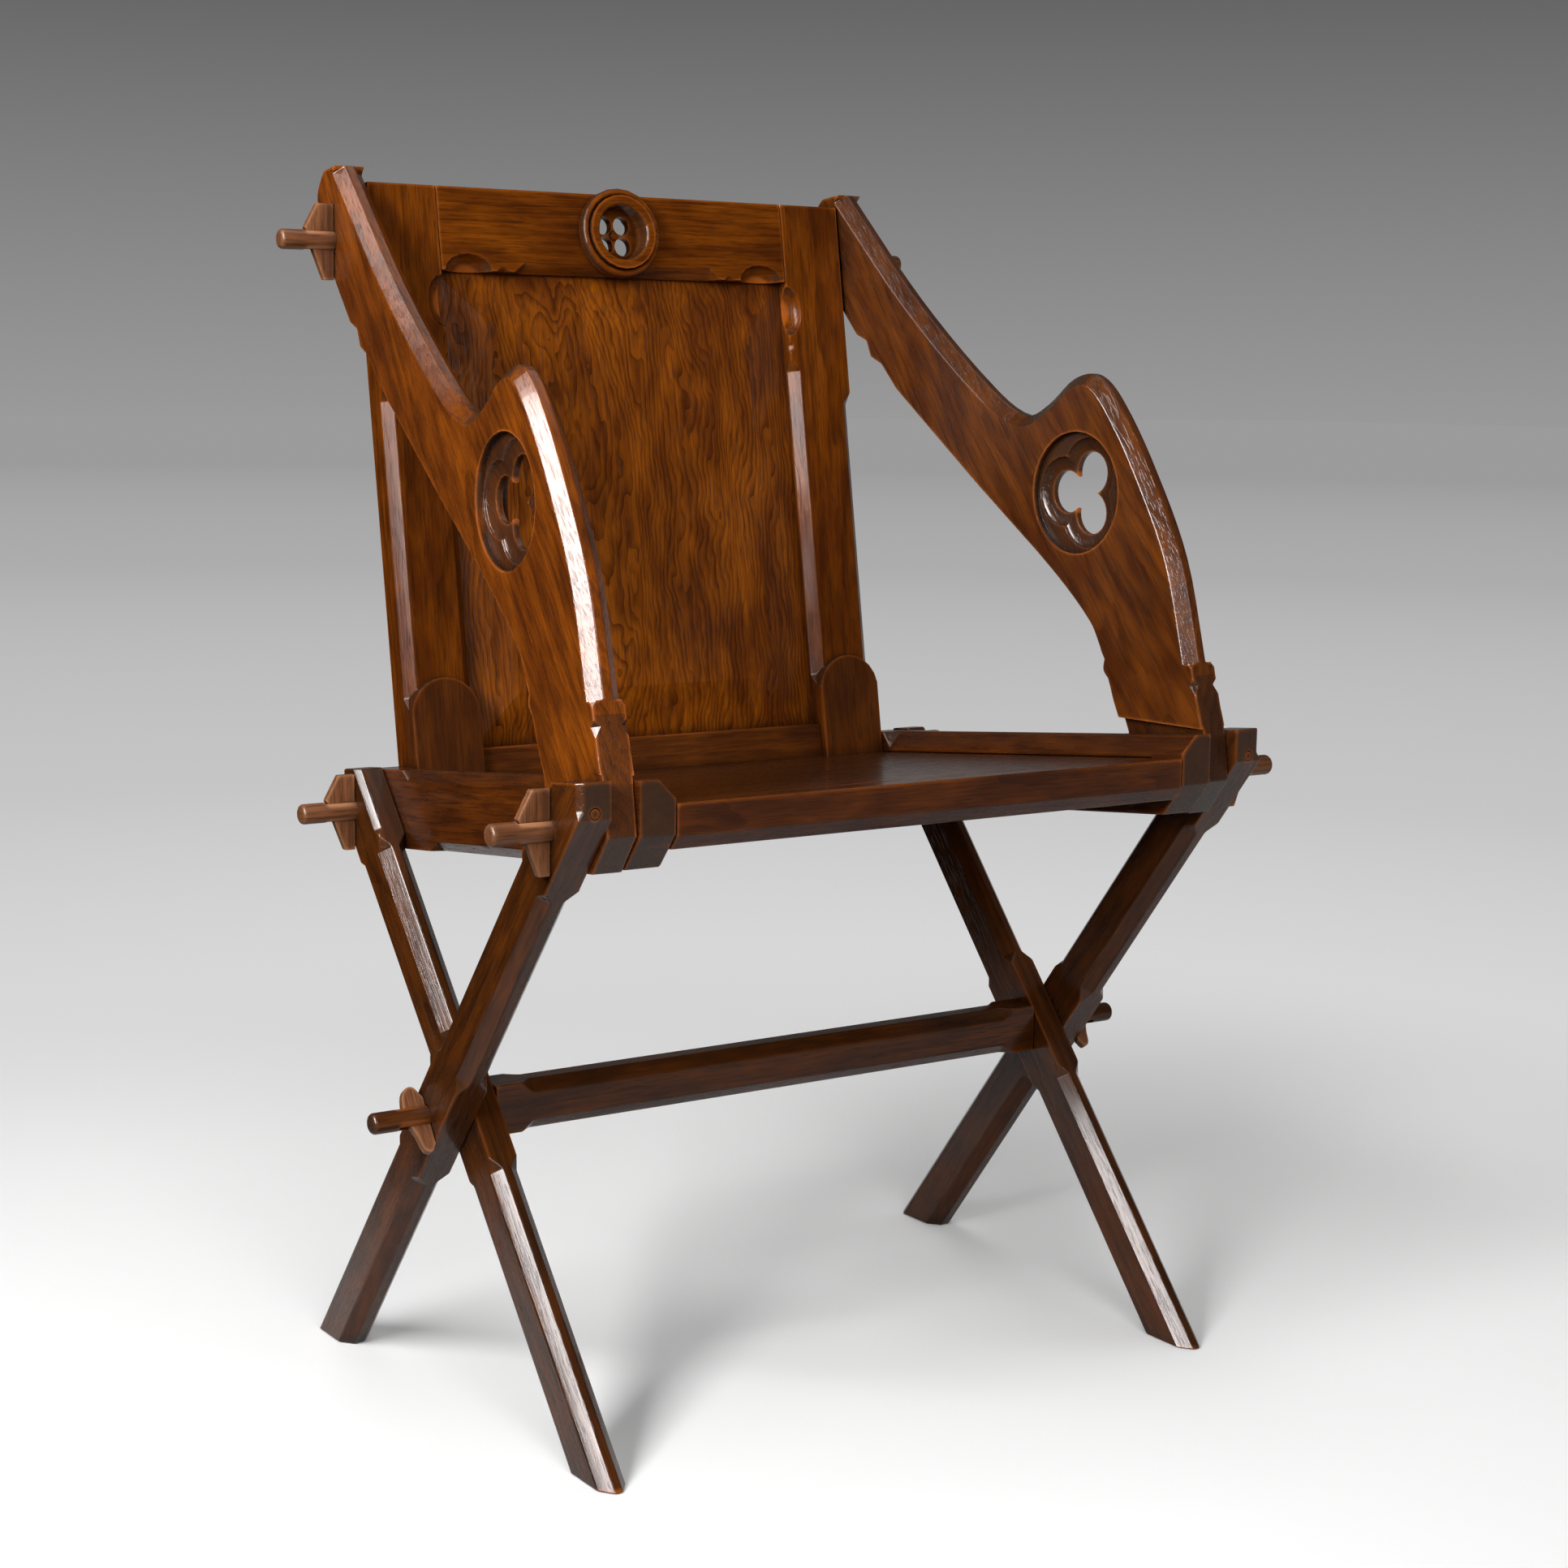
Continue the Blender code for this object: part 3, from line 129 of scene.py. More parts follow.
@dataclass(frozen=True)
class OakFinish:
    """Stained and shellacked oak, rubbed for a century: straight grain, open pores, a soft shine.

    The stain sits dark in the pores, the body is a warm brown, and the arrises are rubbed
    back to orange wood. Shade is painted into the corners and the carving, and onto faces that look
    up.
    """

    name: str
    slot: str
    pore: str
    body: str
    warm: str
    worn: str
    ring_mm: float = 7.0        # width of a year's growth on the face
    wander_mm: float = 5.0      # how far the growth lines stray
    wander_long_mm: float = 190.0
    wander_wide_mm: float = 45.0
    curl_mm: float = 0.35       # small shake of a growth line
    ring_strength: float = 0.50
    fibre_strength: float = 0.60
    smooth: float = 0.20        # roughness of the polished wood
    rough: float = 0.40         # roughness in the pores
    polish: float = 0.10        # how much old shellac is left to shine
    edge_wear: float = 0.95
    # share of painted shade where pieces meet
    corner_shade: float = 0.85
    corner_shade_reach: float = 0.018   # how far out of a corner the painted shade reaches
    end_grain: str = "#36261a"
    end_share: float = 0.70     # how far the end grain has gone dark and grey
    top_shade: float = 0.45       # how far painted shade darkens what faces up
    # colour of the painted shade on faces that look up
    top_shade_tone: str = "#20140c"
    # colour of the painted shade in the carving, on the arms' feet and low on the back
    painted_shade_tone: str = "#2b1c13"
    # colour of the painted shade where pieces meet
    corner_shade_tone: str = "#140803"

    def make(self, piece: str, run: GrainRun, centre: Vector, seed: int) -> bpy.types.Material:
        """Make the finish for one piece of timber.

        Args:
            piece: Name of the piece, for the material's name.
            run: Direction of its grain.
            centre: Middle of the piece.
            seed: Number that sets this timber apart from the others.

        Returns:
            The new material.
        """
        oak = bpy.data.materials.new(f"{self.name}_{piece}")
        oak.use_nodes = True
        tree = oak.node_tree
        tree.nodes.clear()
        lay = self.grain_frame(tree, run, centre, seed)
        rings = self.growth_lines(tree, lay)
        fibre = self.streaks(tree, lay, 38, 1.7, 3)
        # Oak pores are about 0.3 mm wide. They are drawn 1.3 mm wide, or the render can't show
        # them.
        pores = self.streaks(tree, lay, 16, 1.3, 2)
        pits = add_node(tree, "ShaderNodeMapRange", {0: pores, 1: 0.56, 2: 0.72}).outputs[0]
        clouds = self.streaks(tree, lay, 150, 55, 3)
        mottle = self.streaks(tree, lay, 42, 13, 3)
        edge = self.rubbed_edges(tree, clouds)
        corner = self.painted_corner_shade(tree, fibre)
        ends, tops = self.facing(tree)
        colour = self.colour(tree, rings, fibre, pits, clouds, mottle)
        colour = add_node(tree, "ShaderNodeMix", {0: ends, 6: colour, 7: linear(self.end_grain)},
                          data_type="RGBA").outputs[2]
        # Painted shade on faces that look up.
        colour = add_node(tree, "ShaderNodeMix", {0: tops, 6: colour, 7: linear(self.top_shade_tone)},
                          data_type="RGBA").outputs[2]
        # Painted shade in the carving, on the arms' feet and low on the back.
        painted_shade = add_node(tree, "ShaderNodeAttribute", {}, attribute_name=PAINTED_SHADE).outputs["Fac"]
        colour = add_node(tree, "ShaderNodeMix",
                          {0: painted_shade, 6: colour, 7: linear(self.painted_shade_tone)},
                          data_type="RGBA").outputs[2]
        colour = add_node(tree, "ShaderNodeMix", {0: edge, 6: colour, 7: linear(self.worn)},
                          data_type="RGBA").outputs[2]
        # Painted shade where pieces meet and in hollows.
        colour = add_node(tree, "ShaderNodeMix", {0: corner, 6: colour, 7: linear(self.corner_shade_tone)},
                          data_type="RGBA").outputs[2]
        shine = add_node(tree, "ShaderNodeMapRange", {0: fibre, 1: 0.35, 2: 0.75, 3: self.smooth,
                                                      4: (self.smooth + self.rough) / 2}).outputs[0]
        shine = add_node(tree, "ShaderNodeMix", {0: pits, 2: shine, 3: self.rough}).outputs[0]
        bump = self.relief(tree, lay, pits, fibre)
        shader = add_node(tree, "ShaderNodeBsdfPrincipled",
                          {"Base Color": colour, "Roughness": shine, "Normal": bump, "IOR": 1.5,
                           "Specular IOR Level": self.polish, "Coat Weight": self.polish,
                           "Coat Roughness": 0.12, "Coat IOR": 1.5})
        add_node(tree, "ShaderNodeOutputMaterial", {"Surface": shader.outputs[0]})
        return oak

    @staticmethod
    def grain_frame(tree: bpy.types.NodeTree, run: GrainRun, centre: Vector,
                    seed: int) -> bpy.types.NodeSocket:
        """Lay the timber's own frame: X along the grain, the tree's heart off to one side.

        Args:
            tree: Node tree of the material.
            run: Direction of the grain.
            centre: Middle of the piece.
            seed: Number that moves the heart, so that no two boards match.

        Returns:
            Coordinates in metres in the timber's frame.
        """
        turn = Vector(run.value).rotation_difference(Vector((1, 0, 0)))
        around = GOLDEN_ANGLE * seed
        heart = Vector((HEART_STEP * seed, HEART_AWAY * math.cos(around),
                        HEART_AWAY * math.sin(around)))
        place = heart - turn @ centre
        coords = add_node(tree, "ShaderNodeTexCoord", {}).outputs["Object"]
        return add_node(tree, "ShaderNodeMapping", {"Vector": coords, "Location": place,
                                                    "Rotation": turn.to_euler()}).outputs[0]

    @staticmethod
    def streaks(tree: bpy.types.NodeTree, lay: bpy.types.NodeSocket, along_mm: float,
                across_mm: float, detail: float) -> bpy.types.NodeSocket:
        """Noise drawn out along the grain.

        Args:
            tree: Node tree of the material.
            lay: Coordinates in the timber's frame.
            along_mm: Usual length of a streak.
            across_mm: Usual width of a streak.
            detail: Octaves of the noise.

        Returns:
            Values about a half.
        """
        drawn = add_node(tree, "ShaderNodeVectorMath", {0: lay, 1: per_metre(along_mm, across_mm)},
                         operation="MULTIPLY").outputs[0]
        return add_node(tree, "ShaderNodeTexNoise",
                        {"Vector": drawn, "Scale": 1.0, "Detail": detail}).outputs[0]

    def growth_lines(self, tree: bpy.types.NodeTree,
                     lay: bpy.types.NodeSocket) -> bpy.types.NodeSocket:
        """Yearly growth round the heart, straying as the tree grew.

        Args:
            tree: Node tree of the material.
            lay: Coordinates in the timber's frame.

        Returns:
            Saw-shaped values, from 0 in the early wood to 1 in the late wood.
        """
        drawn = add_node(tree, "ShaderNodeVectorMath",
                         {0: lay, 1: per_metre(self.wander_long_mm, self.wander_wide_mm)},
                         operation="MULTIPLY").outputs[0]
        stray = add_node(tree, "ShaderNodeTexNoise", {"Vector": drawn, "Scale": 1.0, "Detail": 2.5,
                                                      "Distortion": 0.4}).outputs["Color"]
        centred = add_node(tree, "ShaderNodeVectorMath", {0: stray, 1: (0.5, 0.5, 0.5)},
                           operation="SUBTRACT").outputs[0]
        moved = add_node(tree, "ShaderNodeVectorMath",
                         {0: centred, 1: (4 * self.wander_mm / 1000,) * 3, 2: lay},
                         operation="MULTIPLY_ADD").outputs[0]
        shake = add_node(tree, "ShaderNodeVectorMath", {0: lay, 1: per_metre(17, 11)},
                         operation="MULTIPLY").outputs[0]
        shake = add_node(tree, "ShaderNodeTexNoise", {"Vector": shake, "Scale": 1.0,
                                                      "Detail": 1.0}).outputs["Color"]
        moved = add_node(tree, "ShaderNodeVectorMath",
                         {0: shake, 1: (4 * self.curl_mm / 1000,) * 3, 2: moved},
                         operation="MULTIPLY_ADD").outputs[0]
        return add_node(tree, "ShaderNodeTexWave",
                        {"Vector": moved, "Scale": WAVE_PERIOD / (self.ring_mm / 1000),
                         "Distortion": 0.0},
                        wave_type="RINGS", rings_direction="X", wave_profile="SAW").outputs[1]

    def colour(self, tree: bpy.types.NodeTree, rings: bpy.types.NodeSocket,
               fibre: bpy.types.NodeSocket, pits: bpy.types.NodeSocket,
               clouds: bpy.types.NodeSocket, mottle: bpy.types.NodeSocket) -> bpy.types.NodeSocket:
        """Colour of the clean wood.

        Args:
            tree: Node tree of the material.
            rings: Growth lines.
            fibre: Fine streaks.
            pits: Pores.
            clouds: Slow changes of tone.
            mottle: Quick changes of tone, which also break the growth lines up.

        Returns:
            The colour.
        """
        tone = add_node(tree, "ShaderNodeMath", {0: clouds, 1: mottle}, operation="ADD").outputs[0]
        lift = add_node(tree, "ShaderNodeMapRange", {0: tone, 1: 0.80, 2: 1.22}).outputs[0]
        wood = add_node(tree, "ShaderNodeMix",
                        {0: lift, 6: linear(self.body), 7: linear(self.warm)},
                        data_type="RGBA").outputs[2]
        late = add_node(tree, "ShaderNodeMapRange", {0: rings, 1: 0.40, 2: 1.0, 3: 0.0,
                                                     4: self.ring_strength}).outputs[0]
        broken = add_node(tree, "ShaderNodeMapRange", {0: mottle, 1: 0.66, 2: 0.40, 3: 0.45,
                                                       4: 1.0}).outputs[0]
        late = add_node(tree, "ShaderNodeMath", {0: late, 1: broken},
                        operation="MULTIPLY").outputs[0]
        wood = add_node(tree, "ShaderNodeMix", {0: late, 6: wood, 7: linear(self.pore)},
                        data_type="RGBA").outputs[2]
        grain = add_node(tree, "ShaderNodeMapRange", {0: fibre, 1: 0.45, 2: 0.74, 3: 0.0,
                                                      4: self.fibre_strength}).outputs[0]
        wood = add_node(tree, "ShaderNodeMix", {0: grain, 6: wood, 7: linear(self.pore)},
                        data_type="RGBA").outputs[2]
        deep = add_node(tree, "ShaderNodeMath", {0: pits, 1: 0.6}, operation="MULTIPLY").outputs[0]
        return add_node(tree, "ShaderNodeMix", {0: deep, 6: wood, 7: linear(self.pore)},
                        data_type="RGBA").outputs[2]

    def facing(self, tree: bpy.types.NodeTree) -> tuple[bpy.types.NodeSocket, bpy.types.NodeSocket]:
        """Find the cut ends of the grain, which drink the stain, and the faces that look up.

        Args:
            tree: Node tree of the material.

        Returns:
            Share of end grain, and share of painted shade on the faces that look up.
        """
        along = add_node(tree, "ShaderNodeAttribute", {}, attribute_name=ALONG_GRAIN).outputs["Fac"]
        ends = add_node(tree, "ShaderNodeMapRange", {0: along, 1: 0.42, 2: 0.62, 3: 0.0,
                                                     4: self.end_share}).outputs[0]
        height = add_node(tree, "ShaderNodeAttribute", {}, attribute_name=LOOKS_UP).outputs["Fac"]
        tops = add_node(tree, "ShaderNodeMapRange", {0: height, 1: 0.30, 2: 0.85, 3: 0.0,
                                                     4: self.top_shade}).outputs[0]
        return ends, tops

    def rubbed_edges(self, tree: bpy.types.NodeTree,
                     clouds: bpy.types.NodeSocket) -> bpy.types.NodeSocket:
        """Where hands and dusters have rubbed the stain from the arrises.

        Args:
            tree: Node tree of the material.
            clouds: Slow changes of tone, which break the wear up.

        Returns:
            Share of bare wood.
        """
        inside = add_node(tree, "ShaderNodeAmbientOcclusion", {"Distance": 0.0035}, samples=6,
                          inside=True, only_local=True).outputs["AO"]
        near = add_node(tree, "ShaderNodeMapRange", {0: inside, 1: 0.80, 2: 0.42, 3: 0.0,
                                                     4: self.edge_wear}).outputs[0]
        patchy = add_node(tree, "ShaderNodeMapRange", {0: clouds, 1: 0.28, 2: 0.54}).outputs[0]
        return add_node(tree, "ShaderNodeMath", {0: near, 1: patchy},
                        operation="MULTIPLY").outputs[0]

    def painted_corner_shade(self, tree: bpy.types.NodeTree,
                     fibre: bpy.types.NodeSocket) -> bpy.types.NodeSocket:
        """Painted shade, dark where pieces meet and in hollows.

        Args:
            tree: Node tree of the material.
            fibre: Fine streaks, which break the edge of the painted shade up.

        Returns:
            Share of painted shade.
        """
        outside = add_node(tree, "ShaderNodeAmbientOcclusion", {"Distance": self.corner_shade_reach},
                           samples=6).outputs["AO"]
        ragged = add_node(tree, "ShaderNodeMath", {0: fibre, 1: 0.25, 2: outside},
                          operation="MULTIPLY_ADD").outputs[0]
        return add_node(tree, "ShaderNodeMapRange", {0: ragged, 1: 0.92, 2: 0.45, 3: 0.0,
                                                     4: self.corner_shade}).outputs[0]

    @staticmethod
    def relief(tree: bpy.types.NodeTree, lay: bpy.types.NodeSocket, pits: bpy.types.NodeSocket,
               fibre: bpy.types.NodeSocket) -> bpy.types.NodeSocket:
        """Hand-planed face: slow waves of the plane, raised fibres and open pores.

        Args:
            tree: Node tree of the material.
            lay: Coordinates in the timber's frame.
            pits: Pores.
            fibre: Fine streaks.

        Returns:
            The surface normal.
        """
        waves = OakFinish.streaks(tree, lay, 70, 26, 2)
        planed = add_node(tree, "ShaderNodeBump", {"Strength": 0.35, "Distance": 0.0016,
                                                   "Height": waves}).outputs[0]
        raised = add_node(tree, "ShaderNodeMath", {0: pits, 1: -1.0, 2: fibre},
                          operation="MULTIPLY_ADD").outputs[0]
        return add_node(tree, "ShaderNodeBump", {"Strength": 0.35, "Distance": 0.00035,
                                                 "Height": raised, "Normal": planed}).outputs[0]


# Straight-grained frame timber, a middle brown.
FRAME_OAK = OakFinish("stained_oak_frame", "frame_oak", pore="#2a1002", body="#522506",
                      warm="#743a08", worn="#a3561d", polish=0.04)
# The seat's rails, darker.
RAIL_OAK = OakFinish("stained_oak_rail", "frame_oak", pore="#1f0b02", body="#431d05",
                     warm="#5e2d08", worn="#a3561d")
# The panel, cut on the face, with a wandering figure and the warmest tone.
PANEL_OAK = OakFinish("stained_oak_panel", "panel_oak", pore="#331402", body="#602d06",
                      warm="#8c490b", worn="#a3561d", ring_mm=4.4, wander_mm=11.0,
                      wander_long_mm=120.0, wander_wide_mm=42.0, curl_mm=1.4, ring_strength=0.85,
                      fibre_strength=0.50)
# The seat, darker than the panel.
SEAT_OAK = OakFinish("stained_oak_seat", "panel_oak", pore="#1f0d03", body="#43210a",
                     warm="#5c300f", worn="#a3561d", fibre_strength=0.50)
# The arms, handled most, smooth and warm.
ARM_OAK = OakFinish("stained_oak_arm", "arm_oak", pore="#301202", body="#5a2906", warm="#854209",
                    worn="#c0682a", wander_mm=8.0, curl_mm=0.6, corner_shade=0.95, corner_shade_reach=0.030,
                    smooth=0.18, polish=0.14)
# The right arm, a darker copy of the arm's oak, as painted shade.
SHADED_ARM_OAK = OakFinish("stained_oak_arm_painted_shade", "arm_oak", pore="#240e02", body="#461f06",
                         warm="#68350a", worn="#b05f26", wander_mm=8.0, curl_mm=0.6, corner_shade=0.95,
                         corner_shade_reach=0.030, smooth=0.18, polish=0.14)
# The legs, darkest.
LEG_OAK = OakFinish("stained_oak_leg", "leg_oak", pore="#1d0a02", body="#3a1c05", warm="#582b07",
                    worn="#8c4a1a", polish=0.13)
# Pins and keys, rubbed by use, paler and drier.
PIN_OAK = OakFinish("rubbed_oak_pin", "pin_oak", pore="#381c10", body="#643c24", warm="#845536",
                    worn="#b07c56", ring_mm=4.0, wander_mm=2.0, smooth=0.30, rough=0.46,
                    edge_wear=0.9, end_share=0.2, top_shade=0.1)
# The pegs, stained with the legs.
PEG_OAK = OakFinish("stained_oak_peg", "pin_oak", pore="#1d0a02", body="#3f1d06", warm="#5f2d08",
                    worn="#8c4a1a")


def only(piece: bpy.types.Object) -> None:
    """Select one object and make it the active one."""
    bpy.ops.object.select_all(action="DESELECT")
    piece.select_set(True)
    bpy.context.view_layer.objects.active = piece


@dataclass
class Joinery:
    """A group of pieces made and finished alike."""

    arris: float                # radius that handling has given the sharp edges
    finish: OakFinish
    timbers: dict[str, GrainRun]
    seed: int
    segments: int = 2
    tries: int = 14             # goes at rounding a piece without folding a face
    merge: float = 0.0002       # corners closer than this are one
    flat_angle: float = math.radians(0.8)   # faces that meet at less than this are one face
    sharp_angle: float = math.radians(32)   # edges sharper than this are rounded
    spare: float = 0.4          # share of the shortest edge beside it that an arris may take
    narrowing: float = 0.4      # an arris beside a fold is narrowed to this share, each time
    most_folds: int = 3         # an arris beside this many folds stays sharp
    fold_reach: float = 0.003   # how far a fold reaches at the first try, and further at each next
    soft_angle: float = math.radians(28)    # faces that meet at less than this are one curve

    def build(self) -> list[bpy.types.Object]:
        """Model every piece of the group and give each its finish.

        Returns:
            The finished pieces.
        """
        pieces = []
        for number, (node, run) in enumerate(self.timbers.items()):
            piece = self.rounded(node)
            self.dress(piece, node, run, self.seed + number)
            log.info("%s: %d faces", piece.name, len(piece.data.polygons))
            pieces.append(piece)
        return pieces

    def rounded(self, node: str) -> bpy.types.Object:
        """Copy a CAD node and round its arrises.

        Args:
            node: Name of the CAD node.

        Returns:
            The copy, in the node's place.
        """
        piece = bpy.data.objects.new(f"{node}_oak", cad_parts[node].data.copy())
        bpy.context.scene.collection.objects.link(piece)
        only(piece)
        bpy.ops.mesh.customdata_custom_splitnormals_clear()
        bpy.ops.object.mode_set(mode="EDIT")
        bpy.ops.mesh.select_all(action="SELECT")
        bpy.ops.mesh.remove_doubles(threshold=self.merge)
        bpy.ops.mesh.dissolve_degenerate(threshold=self.merge)
        bpy.ops.mesh.dissolve_limited(angle_limit=self.flat_angle)
        bpy.ops.mesh.select_all(action="DESELECT")
        bpy.ops.mesh.edges_select_sharp(sharpness=self.sharp_angle)
        bpy.ops.object.mode_set(mode="OBJECT")
        plain = piece.data
        tight = []
        for _ in range(self.tries):
            piece.data = plain.copy()
            self.weigh_arrises(piece, node, tight)
            self.bevel(piece)
            folds = self.folded(piece.data)
            if not folds:
                break
            tight.append(folds)
        else:
            log.info("%s: %d folds left, so its arrises stay sharp", node, len(folds))
            piece.data = plain
        bpy.ops.object.shade_smooth_by_angle(angle=self.soft_angle)
        weigh = piece.modifiers.new("flat_faces", "WEIGHTED_NORMAL")
        weigh.keep_sharp = True
        bpy.ops.object.modifier_apply(modifier=weigh.name)
        return piece

    def bevel(self, piece: bpy.types.Object) -> None:
        """Round the weighted edges of a piece."""
        bevel = piece.modifiers.new("arris", "BEVEL")
        bevel.width = self.arris
        bevel.segments = self.segments
        bevel.limit_method = "WEIGHT"
        bevel.use_clamp_overlap = False
        bevel.miter_outer = "MITER_ARC"
        bpy.ops.object.modifier_apply(modifier=bevel.name)

    def weigh_arrises(self, piece: bpy.types.Object, node: str, tight: list[list[Vector]]) -> None:
        """Weigh the selected sharp edges for the bevel, lighter where the carving is fine.

        Args:
            piece: The copy, with its sharp edges selected.
            node: CAD node that it stands for.
            tight: Spots where each earlier try folded a face over.
        """
        mesh = piece.data
        ends = [[mesh.vertices[end].co for end in edge.vertices] for edge in mesh.edges]
        room = [1.0] * len(mesh.vertices)
        for edge, (first, last) in zip(mesh.edges, ends):
            for end in edge.vertices:
                room[end] = min(room[end], (last - first).length)
        weights = mesh.attributes.new("bevel_weight_edge", "FLOAT", "EDGE")
        for edge, (first, last) in zip(mesh.edges, ends):
            if edge.select:
                spare = self.spare * min(room[end] for end in edge.vertices) / self.arris
                weight = min(spare, self.softness(node, (first + last) / 2))
                folds = sum(any(self.beside(first, last, spot, self.fold_reach * (go + 1))
                                for spot in spots)
                            for go, spots in enumerate(tight))
                weight = weight * self.narrowing ** folds if folds < self.most_folds else 0.0
                weights.data[edge.index].value = weight

    @staticmethod
    def beside(first: Vector, last: Vector, spot: Vector, reach: float) -> bool:
        """Tell whether a spot lies within reach of an edge."""
        share = intersect_point_line(spot, first, last)[1]
        return (first.lerp(last, min(max(share, 0.0), 1.0)) - spot).length < reach

    @staticmethod
    def folded(mesh: bpy.types.Mesh) -> list[Vector]:
        """Find where a face is folded over on itself.

        Args:
            mesh: A bevelled mesh.

        Returns:
            Spots where the outlines of folded faces cross, or else their turned corners.
        """
        mesh.calc_loop_triangles()
        turned = {}
        for triangle in mesh.loop_triangles:
            face = mesh.polygons[triangle.polygon_index]
            if triangle.area > LEAST_FOLD and triangle.normal.dot(face.normal) < 0:
                corners = [mesh.vertices[corner].co.copy() for corner in triangle.vertices]
                turned.setdefault(face.index, []).extend(corners)
        spots = []
        for index, corners in turned.items():
            face = mesh.polygons[index]
            outline = [mesh.vertices[corner].co for corner in face.vertices]
            spots += Joinery.crossings(outline, face.normal) or corners
        return spots

    @staticmethod
    def crossings(outline: list[Vector], normal: Vector) -> list[Vector]:
        """Find where a flat outline crosses itself.

        Args:
            outline: Corners of the outline, in order.
            normal: Direction that its face looks.

        Returns:
            The crossings.
        """
        turn = normal.rotation_difference(Vector((0, 0, 1)))
        flat = [(turn @ corner).xy for corner in outline]
        count = len(flat)
        found = []
        for i in range(count):
            for j in range(i + 2, count - (i == 0)):
                a, b, c, d = flat[i], flat[(i + 1) % count], flat[j], flat[(j + 1) % count]
                hit = intersect_line_line_2d(a, b, c, d)
                if hit is not None:
                    share = (hit - a).length / max((b - a).length, 1e-9)
                    found.append(outline[i].lerp(outline[(i + 1) % count], share))
        return found

    def softness(self, node: str, point: Vector) -> float:
        """Share of the arris's radius that an edge takes at a point of a node."""
        return 1.0

    def finish_of(self, node: str) -> OakFinish:
        """Finish of one piece of the group."""
        return self.finish

    def painted_shade(self, face: bpy.types.MeshPolygon) -> float:
        """Share of painted shade on a face."""
        return 0.0

    def dress(self, piece: bpy.types.Object, node: str, run: GrainRun, seed: int) -> None:
        """Finish a piece and let it ride where its CAD node does.

        Args:
            piece: The modelled piece.
            node: CAD node that it stands for.
            run: Direction of its grain.
            seed: Number of its timber.
        """
        for name, way in ((ALONG_GRAIN, Vector(run.value)), (LOOKS_UP, Vector((0, 0, 1)))):
            marks = piece.data.attributes.new(name, "FLOAT", "FACE").data
            for face in piece.data.polygons:
                along = face.normal.dot(way)
                marks[face.index].value = abs(along) if name == ALONG_GRAIN else along
        # Painted shade, face by face: in the carving, on the arms' feet and low on the back.
        marks = piece.data.attributes.new(PAINTED_SHADE, "FLOAT", "FACE").data
        for face in piece.data.polygons:
            marks[face.index].value = self.painted_shade(face)
        low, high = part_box(node)
        piece.data.materials.clear()
        piece.data.materials.append(self.finish_of(node).make(node, run, (low + high) / 2, seed))
        body = node if node.startswith("key_") else "frame"
        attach(piece, body)
        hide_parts(node)


@dataclass
class Undercarriage(Joinery):
    """The crossed legs and their stretcher."""

    arris: float = 0.0012
    finish: OakFinish = LEG_OAK
    timbers: dict[str, GrainRun] = field(default_factory=lambda: {
        "leg_front_left": GrainRun.UP_FRONT_LEG, "leg_front_right": GrainRun.UP_FRONT_LEG,
        "leg_rear_left": GrainRun.UP_REAR_LEG, "leg_rear_right": GrainRun.UP_REAR_LEG,
        "stretcher": GrainRun.ACROSS})
    seed: int = 1


@dataclass
class SeatFrame(Joinery):
    """The seat's rails, sloping to the back."""

    arris: float = 0.0012
    finish: OakFinish = RAIL_OAK
    timbers: dict[str, GrainRun] = field(default_factory=lambda: {
        "side_rail_left": GrainRun.ALONG_SEAT, "side_rail_right": GrainRun.ALONG_SEAT,
        "front_rail": GrainRun.ACROSS, "rear_rail": GrainRun.ACROSS})
    seed: int = 11


@dataclass
class BackFrame(Joinery):
    """The frame of the back, with the crest roundel."""

    block_top: float = 0.535    # height below which shade is painted, in metres
    block_dark: float = 0.40    # share of painted shade below it
    crisp: float = 0.45         # share of the arris that the roundel's edges take
    arris: float = 0.0009
    finish: OakFinish = FRAME_OAK
    timbers: dict[str, GrainRun] = field(default_factory=lambda: {
        "stile_left": GrainRun.UP_BACK, "stile_right": GrainRun.UP_BACK,
        "top_rail": GrainRun.ACROSS, "bottom_rail": GrainRun.ACROSS,
        "crest_roundel": GrainRun.ACROSS})
    seed: int = 21

    def softness(self, node: str, point: Vector) -> float:
        """Keep the pierced roundel crisp."""
        return self.crisp if node == "crest_roundel" else 1.0

    def painted_shade(self, face: bpy.types.MeshPolygon) -> float:
        """Paint shade onto what stands low down by the seat, such as the stiles' arched blocks."""
        return self.block_dark if face.center.z < self.block_top else 0.0


@dataclass
class BackPanel(Joinery):
    """The fielded panel of the back."""

    arris: float = 0.0009
    finish: OakFinish = PANEL_OAK
    timbers: dict[str, GrainRun] = field(default_factory=lambda: {"back_panel": GrainRun.UP_BACK})
    seed: int = 31
    soft_angle: float = math.radians(6)     # keeps the fielded panel's low bevels crisp


@dataclass
class SeatBoard(Joinery):
    """The wide board of the seat."""

    arris: float = 0.0009
    finish: OakFinish = SEAT_OAK
    timbers: dict[str, GrainRun] = field(default_factory=lambda: {"seat_board": GrainRun.ACROSS})
    seed: int = 32


